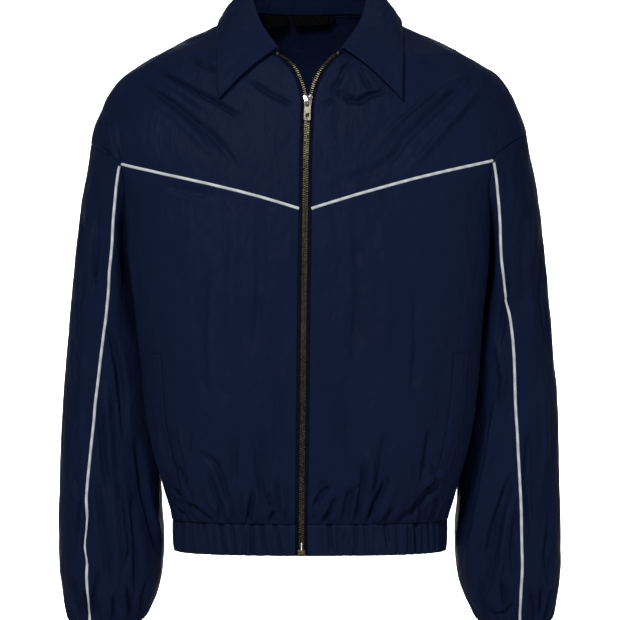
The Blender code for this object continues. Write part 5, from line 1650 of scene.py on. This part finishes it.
# %% Pull tab
def flat_plate(name, outlines, thickness, bevel, frame, material):
    """A plate with holes: a filled flat curve, bevelled; the first outline is its edge."""
    curve = bpy.data.curves.new(name, "CURVE")
    curve.dimensions = "2D"
    curve.fill_mode = "BOTH"
    curve.extrude = (thickness / 2 - bevel) * MM
    curve.bevel_depth = bevel * MM
    curve.bevel_resolution = 2
    for outline in outlines:
        spline = curve.splines.new("POLY")
        spline.points.add(len(outline) - 1)
        for point, (a, b) in zip(spline.points, outline):
            point.co = (a * MM, b * MM, 0, 1)
        spline.use_cyclic_u = True
    thing = placed(name, curve)
    mesh = bpy.data.meshes.new_from_object(thing.evaluated_get(bpy.context.evaluated_depsgraph_get()))
    bpy.data.objects.remove(thing)
    origin, first, second, third = frame
    for vertex in mesh.vertices:
        a, b, c = vertex.co
        vertex.co = Vector(origin * MM + first * a + second * b + third * c)
    mesh.materials.clear()
    mesh.materials.append(material)
    return turned_out(placed(name, mesh), 1e-6)


def rounded_box(low_x, high_x, low_y, high_y, radius, steps=5):
    """Outline of a rectangle with round corners."""
    corners = ((high_x, high_y, 0), (low_x, high_y, 90), (low_x, low_y, 180), (high_x, low_y, 270))
    outline = []
    for x, y, start in corners:
        centre = (x - math.copysign(radius, x - (low_x + high_x) / 2),
                  y - math.copysign(radius, y - (low_y + high_y) / 2))
        for turn in np.linspace(start, start + 90, steps):
            outline.append((centre[0] + radius * math.cos(math.radians(turn)),
                            centre[1] + radius * math.sin(math.radians(turn))))
    return outline


tab_pin = slider_at + slider_up * PIN_UP + slider_out * PIN_OUT
tab_frame = (tab_pin, slider_across, slider_up, slider_out)
body = rounded_box(-3.9, 3.9, -TAB_LENGTH, 0.8, 1.6)
body = [(a * (0.84 + 0.16 * min(1.0, (0.8 - b) / (TAB_LENGTH * 0.5))), b) for a, b in body]
slot = rounded_box(-1.8, 1.8, -6.6, -0.5, 0.7)
window = rounded_box(-2.2, 2.2, 3.4 - TAB_LENGTH, 8.4 - TAB_LENGTH, 0.5)
pull_tab = flat_plate("pull_tab_plate", (body, slot, window), TAB_WALL, 0.3, tab_frame, aged_nickel)
print("pull tab", TAB_LENGTH, "mm long")

# %% End pieces
band_out = unit(tooth_lines["left"][2][0] + tooth_lines["right"][2][0])
box_across = unit(tooth_lines["left"][0][0] - tooth_lines["right"][0][0])
box_frame = (chain_line[0] + band_out * 0.6, box_across, np.array([0.0, 0.0, 1.0]), band_out)
box_side = rounded_box(-BOX_WIDTH / 2, BOX_WIDTH / 2, 0.0, BOX_HEIGHT, 0.8)
end_box = plate("end_box", box_side, -CHAIN_PROUD - DOUBLE_CLOTH + CLOTH, 0.0, box_frame, antique_brass, 0.4)
stops = {}
for name, (line, inward, out) in tooth_lines.items():
    top = line[-1] - inward[-1] * CHAIN_WIDTH / 4
    up = unit(line[-1] - line[-1 - FINE])
    across_here = unit(np.cross(up, out[-1]))
    stop_frame = (top - up * STOP_HEIGHT / 2, across_here, up, unit(out[-1]))
    stop_side = rounded_box(-1.4, 1.4, -STOP_HEIGHT / 2, STOP_HEIGHT / 2, 0.6)
    stops[name] = plate(f"top_stop_{name}", stop_side, -CHAIN_THICK, 0.0, stop_frame, antique_brass, 0.3)
print("end box and", len(stops), "top stops")

# %% [markdown]
# ## Pocket welts
# Each side pocket opens behind a narrow welt that is stitched along both long edges and across its
# ends. A welt is a strip of the front's own surface, moved out by its thickness.

# %% Pocket welts
WELT_TOP_Z = -409.0
WELT_BOTTOM_Z = -567.0
WELT_COLUMN = 7 * FINE
WELT_LIFT = 0.4
WELT_WALL = 0.8
WELT_BOW = 0.5


def front_rows(grid, first, last):
    """Fractional rows of a lower front between the welt's ends, at its middle column."""
    height = grid[:, (first + last) // 2, 2]
    low, high = (float(np.interp(z, height, np.arange(len(height)))) for z in (WELT_BOTTOM_Z, WELT_TOP_Z))
    return np.concatenate([[low], np.arange(int(low) + 1, int(high) + 1), [high]])


welts, welt_faces = {}, {}
for name in ("left", "right"):
    grid, out = points[f"front_{name}"], normals[f"front_{name}"]
    first = WELT_COLUMN if name == "left" else FRONT_COLUMNS - WELT_COLUMN - FINE
    columns = np.arange(first, first + FINE + 1)
    rows = front_rows(grid, first, first + FINE)
    face, way = between(grid, rows, columns), unit_rows(between(out, rows, columns))
    bow = WELT_BOW * np.sin(np.linspace(0, math.pi, len(columns)))[None, :, None]
    face = face + way * (WELT_LIFT + WELT_WALL + bow)
    welt = mesh_object(f"welt_{name}", face.reshape(-1, 3), quads(*face.shape[:2]), shell_nylon)
    welts[name] = thicken(welt, WELT_WALL)
    welt_faces[name] = (face, way)
print("welts", round(WELT_TOP_Z - WELT_BOTTOM_Z), "mm high")

# %% [markdown]
# ## Labels
# Three black woven labels hang inside the back of the neck. They are left blank: nothing is written
# on them. A slight curl keeps them from looking like card.

# %% Labels
# Blank labels at the back neck: name, left x, right x, top z, z of both lower corners
LABELS = (
    ("neck_left", -57.0, -28.0, 0.0, -17.0, -10.5),
    ("neck_main", -22.0, 23.5, 0.0, -13.0, -10.5),
    ("size", 24.6, 30.0, -0.5, -7.0, -7.0),
)
LABEL_FROM_SEAM = 2.6
LABEL_GRID = (10, 16)
LABEL_WALL = 0.5


def make_label(name, left_x, right_x, top, left_low, right_low):
    rows, columns = LABEL_GRID
    grid = np.empty((rows, columns, 3))
    for j, along in enumerate(np.linspace(0, 1, columns)):
        x = left_x + (right_x - left_x) * along
        low = left_low + (right_low - left_low) * along
        angle = 180 - abs(float(front_angle(np.array(x), 0.0)))
        place = torso_point(angle, 0.0) * (math.copysign(1, x), 1, 1)
        way = unit(np.array([place[0] / 1.8, place[1], 0.0]))
        for i, down in enumerate(np.linspace(1, 0, rows)):
            curl = 0.8 * down**2 * math.sin(math.pi * along)
            grid[i, j] = place - way * (LABEL_FROM_SEAM + curl) + (0, 0, top + (low - top) * down)
    piece = mesh_object(f"label_face_{name}", grid.reshape(-1, 3), quads(rows, columns), damask_label)
    return thicken(piece, -LABEL_WALL)


labels = {row[0]: make_label(*row) for row in LABELS}
print("blank labels:", ", ".join(labels))

# %% [markdown]
# ## Topstitching
# The sewing shows as rows of short threads, each one sinking into the cloth at both ends. One
# small spindle is repeated along every line: beside the zip, round the collar and on the welts.

# %% Stitches
STITCH_PITCH = 3.2
STITCH_LONG = 2.5
STITCH_THICK = 0.5
STITCH_SIDES = 5


# along the thread's length, share of its thickness, lift off the cloth
SPINDLE = ((-0.5, 0.35, -0.15), (-0.25, 0.9, 0.12), (0.25, 0.9, 0.12), (0.5, 0.35, -0.15))


def stitch_row(line, out):
    """Spindles along a line of points, lying on its surface."""
    length = float(run_along(line, 0)[-1])
    places = np.arange(STITCH_PITCH / 2, length - STITCH_PITCH / 2, STITCH_PITCH)
    ahead = unit_rows(read_along(line, places + 0.6) - read_along(line, places - 0.6))
    way = unit_rows(read_along(line, places, out))
    across = unit_rows(np.cross(ahead, way))
    turns = [2 * math.pi * k / STITCH_SIDES for k in range(STITCH_SIDES)]
    faces = tube(len(SPINDLE), STITCH_SIDES)
    parts = []
    for at, a, w, c in zip(read_along(line, places), ahead, way, across):
        rings = [
            at + a * share * STITCH_LONG
            + (c * math.cos(t) + w * math.sin(t)) * thick * STITCH_THICK / 2 + w * lift
            for share, thick, lift in SPINDLE for t in turns
        ]
        parts.append((np.array(rings), faces))
    return parts


def lines_beside(grid, out, distance, axis, from_end=False):
    """A line on a grid's surface at a distance from one of its borders, with its normals."""
    if axis == 1:
        grid, out = grid.swapaxes(0, 1), out.swapaxes(0, 1)
    if from_end:
        grid, out = grid[::-1], out[::-1]
    line, ways = [], []
    for column in range(grid.shape[1]):
        line.append(read_along(grid[:, column], distance))
        ways.append(read_along(grid[:, column], distance, out[:, column]))
    return np.array(line), np.array(ways)


# %% Rows of stitches
ZIP_STITCH = 5.0  # from a front's edge
WELT_STITCH = 2.0
BOTH_ENDS = (False, True)
rows = {"front": [], "collar": [], "welts": []}
for name in ("left", "right"):
    for panel, part in (("front", slice(0, None)), ("yoke", slice(0, ZIP_ROWS + OPEN_ROWS))):
        grid, out = points[f"{panel}_{name}"][part], normals[f"{panel}_{name}"][part]
        rows["front"] += stitch_row(*lines_beside(grid, out, ZIP_STITCH, 1, name == "right"))
rows["collar"] += stitch_row(*lines_beside(collar_face, collar_out, STITCH_IN, 1, True))
leaf, leaf_out = collar_face[:, COLLAR_ROWS // 3 :], collar_out[:, COLLAR_ROWS // 3 :]
for from_end in BOTH_ENDS:
    rows["collar"] += stitch_row(*lines_beside(leaf, leaf_out, STITCH_IN, 0, from_end))
for face, way in welt_faces.values():
    for from_end in BOTH_ENDS:
        for axis in (1, 0):
            rows["welts"] += stitch_row(*lines_beside(face, way, WELT_STITCH, axis, from_end))
stitches = [turned_out(joined(f"stitches_{name}", parts, sewing_thread)) for name, parts in rows.items()]
print("stitches", sum(len(parts) for parts in rows.values()))

# %% [markdown]
# ## Floor and light
# A pale floor lies half a metre under the cuffs, as if the jacket were worn, and sweeps up far behind
# it. One firm soft light above the camera draws the creases, weak ones at the sides, above and behind
# open the shadows, and two turned away from the jacket make the backdrop white.

# %% Floor
def plain(name, code, rough):
    material, shader = new_material(name)
    shader.inputs["Base Color"].default_value = colour(code)
    shader.inputs["Roughness"].default_value = rough
    return material


FLOOR_Z = CAD_LOW.z - 0.5  # metres, as all lengths of the floor and the lights
sweep = [(-6.0, 0.0), (5.5, 0.0), (6.3, 0.15), (6.8, 0.6), (7.0, 1.2), (7.0, 5.0)]
sweep = smoothed([(0.0, y, z) for y, z in sweep], 40)
floor_grid = np.array([sweep + (x, 0, FLOOR_Z) for x in (8.0, -8.0)])
pale_floor = plain("pale_floor", "#F4F4F2", 0.9)
floor = mesh_object("floor", floor_grid.reshape(-1, 3) / MM, quads(2, len(sweep)), pale_floor)
print("floor at", round(FLOOR_Z, 3), "m")


# %% Light
def soft_light(name, place, target, size, power):
    lamp = bpy.data.lights.new(name, "AREA")
    lamp.shape = "RECTANGLE"
    lamp.size, lamp.size_y = size
    lamp.energy = power
    light = placed(name, lamp)
    light.location = place
    light.visible_camera = False
    light.rotation_euler = (Vector(target) - Vector(place)).to_track_quat("-Z", "Y").to_euler()
    return light


chest = (0, 0, -0.35)
soft_light("key", (-0.8, -2.9, 1.3), chest, (0.7, 0.7), 84)
soft_light("left_side", (-2.3, -0.8, 0.0), chest, (0.7, 1.8), 2)
soft_light("right_side", (2.1, -1.6, 0.3), chest, (0.7, 1.2), 15)
soft_light("top", (0.2, 0.5, 1.9), chest, (1.4, 0.8), 6)
soft_light("backdrop_left", (-1.6, 5.2, 0.3), (-0.2, 6.6, -0.7), (0.6, 1.6), 115)
soft_light("backdrop_right", (1.6, 5.2, 0.3), (0.2, 6.6, -0.7), (0.6, 1.6), 115)
soft_light("back", (0.0, 3.0, 0.6), chest, (1.2, 1.2), 24)
world = bpy.context.scene.world or bpy.data.worlds.new("surround")
bpy.context.scene.world = world
world.use_nodes = True
world.node_tree.nodes["Background"].inputs["Color"].default_value = colour("#F6F7F9")
world.node_tree.nodes["Background"].inputs["Strength"].default_value = 0.14
bpy.context.scene.view_settings.view_transform = "Standard"
print(len(bpy.data.lights), "soft lights")

# %% [markdown]
# ## Bodies, replaced solids and cloth
# Everything rides on the jacket but the pull tab. Each piece of cloth states the size it was cut to,
# measured on the smooth form before any fold was laid in.

# %% Bodies
JACKET, TAB = "jacket", "pull_tab"
stands_for = {piece: name for name, piece in cloth.items()}
stands_for.update({hem_band: "hem_band", collar: "collar", slider: "zip_slider", end_box: "zip_box"})
stands_for.update({piece: f"cuff_{name}" for name, piece in cuffs.items()})
stands_for.update({piece: f"piping_{name}" for name, piece in piping.items()})
stands_for.update({piece: f"zip_tape_{name}" for name, piece in tapes.items()})
stands_for.update({piece: f"zip_teeth_{name}" for name, piece in teeth.items()})
stands_for.update({piece: f"zip_stop_{name}" for name, piece in stops.items()})
stands_for.update({piece: f"pocket_welt_{name}" for name, piece in welts.items()})
stands_for.update({piece: f"label_{name}" for name, piece in labels.items()})
for piece, node in stands_for.items():
    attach(piece, JACKET)
    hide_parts(node)
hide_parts("zip_chain")
for piece in stitches:
    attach(piece, JACKET)
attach(pull_tab, TAB)
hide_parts("zip_pull_tab")
print(len(stands_for) + 1, "pieces stand for solids")


# %% Sheets
def cut(piece, grid):
    """Prints a sheet's longest run across and along, and its area."""
    grid = grid * MM
    wide, long = float(run_along(grid, 1)[:, -1].max()), float(run_along(grid, 0)[-1].max())
    a, b = grid[1:, :-1] - grid[:-1, :-1], grid[:-1, 1:] - grid[:-1, :-1]
    c, d = grid[:-1, 1:] - grid[1:, 1:], grid[1:, :-1] - grid[1:, 1:]
    area = sum(float(np.linalg.norm(np.cross(*sides), axis=-1).sum()) for sides in ((a, b), (c, d))) / 2
    area = min(area, wide * long)
    print(f"{piece.name}: {wide:.3f} x {long:.3f} m, {area:.3f} square metres")


smooth_form = body_grids()
for name, piece in cloth.items():
    cut(piece, smooth_form[name])
cut(hem_band, band_grid)
for name, piece in cuffs.items():
    cut(piece, cuff_grids[name])
cut(collar, collar_grid)
for name, piece in welts.items():
    cut(piece, welt_faces[name][0])
for name, piece in tapes.items():
    width = toward + TAPE_CLOSED + TAPE_UNDER
    length = float(run_along(tooth_lines[name][0], 0)[-1])
    strip_form = np.array([[[0, 0, 0], [width, 0, 0]], [[0, 0, length], [width, 0, length]]])
    cut(piece, strip_form)
for name, left_x, right_x, top, left_low, right_low in LABELS[:2]:
    form = np.array([[[left_x, 0, left_low], [right_x, 0, right_low]], [[left_x, 0, top], [right_x, 0, top]]])
    cut(labels[name], form)
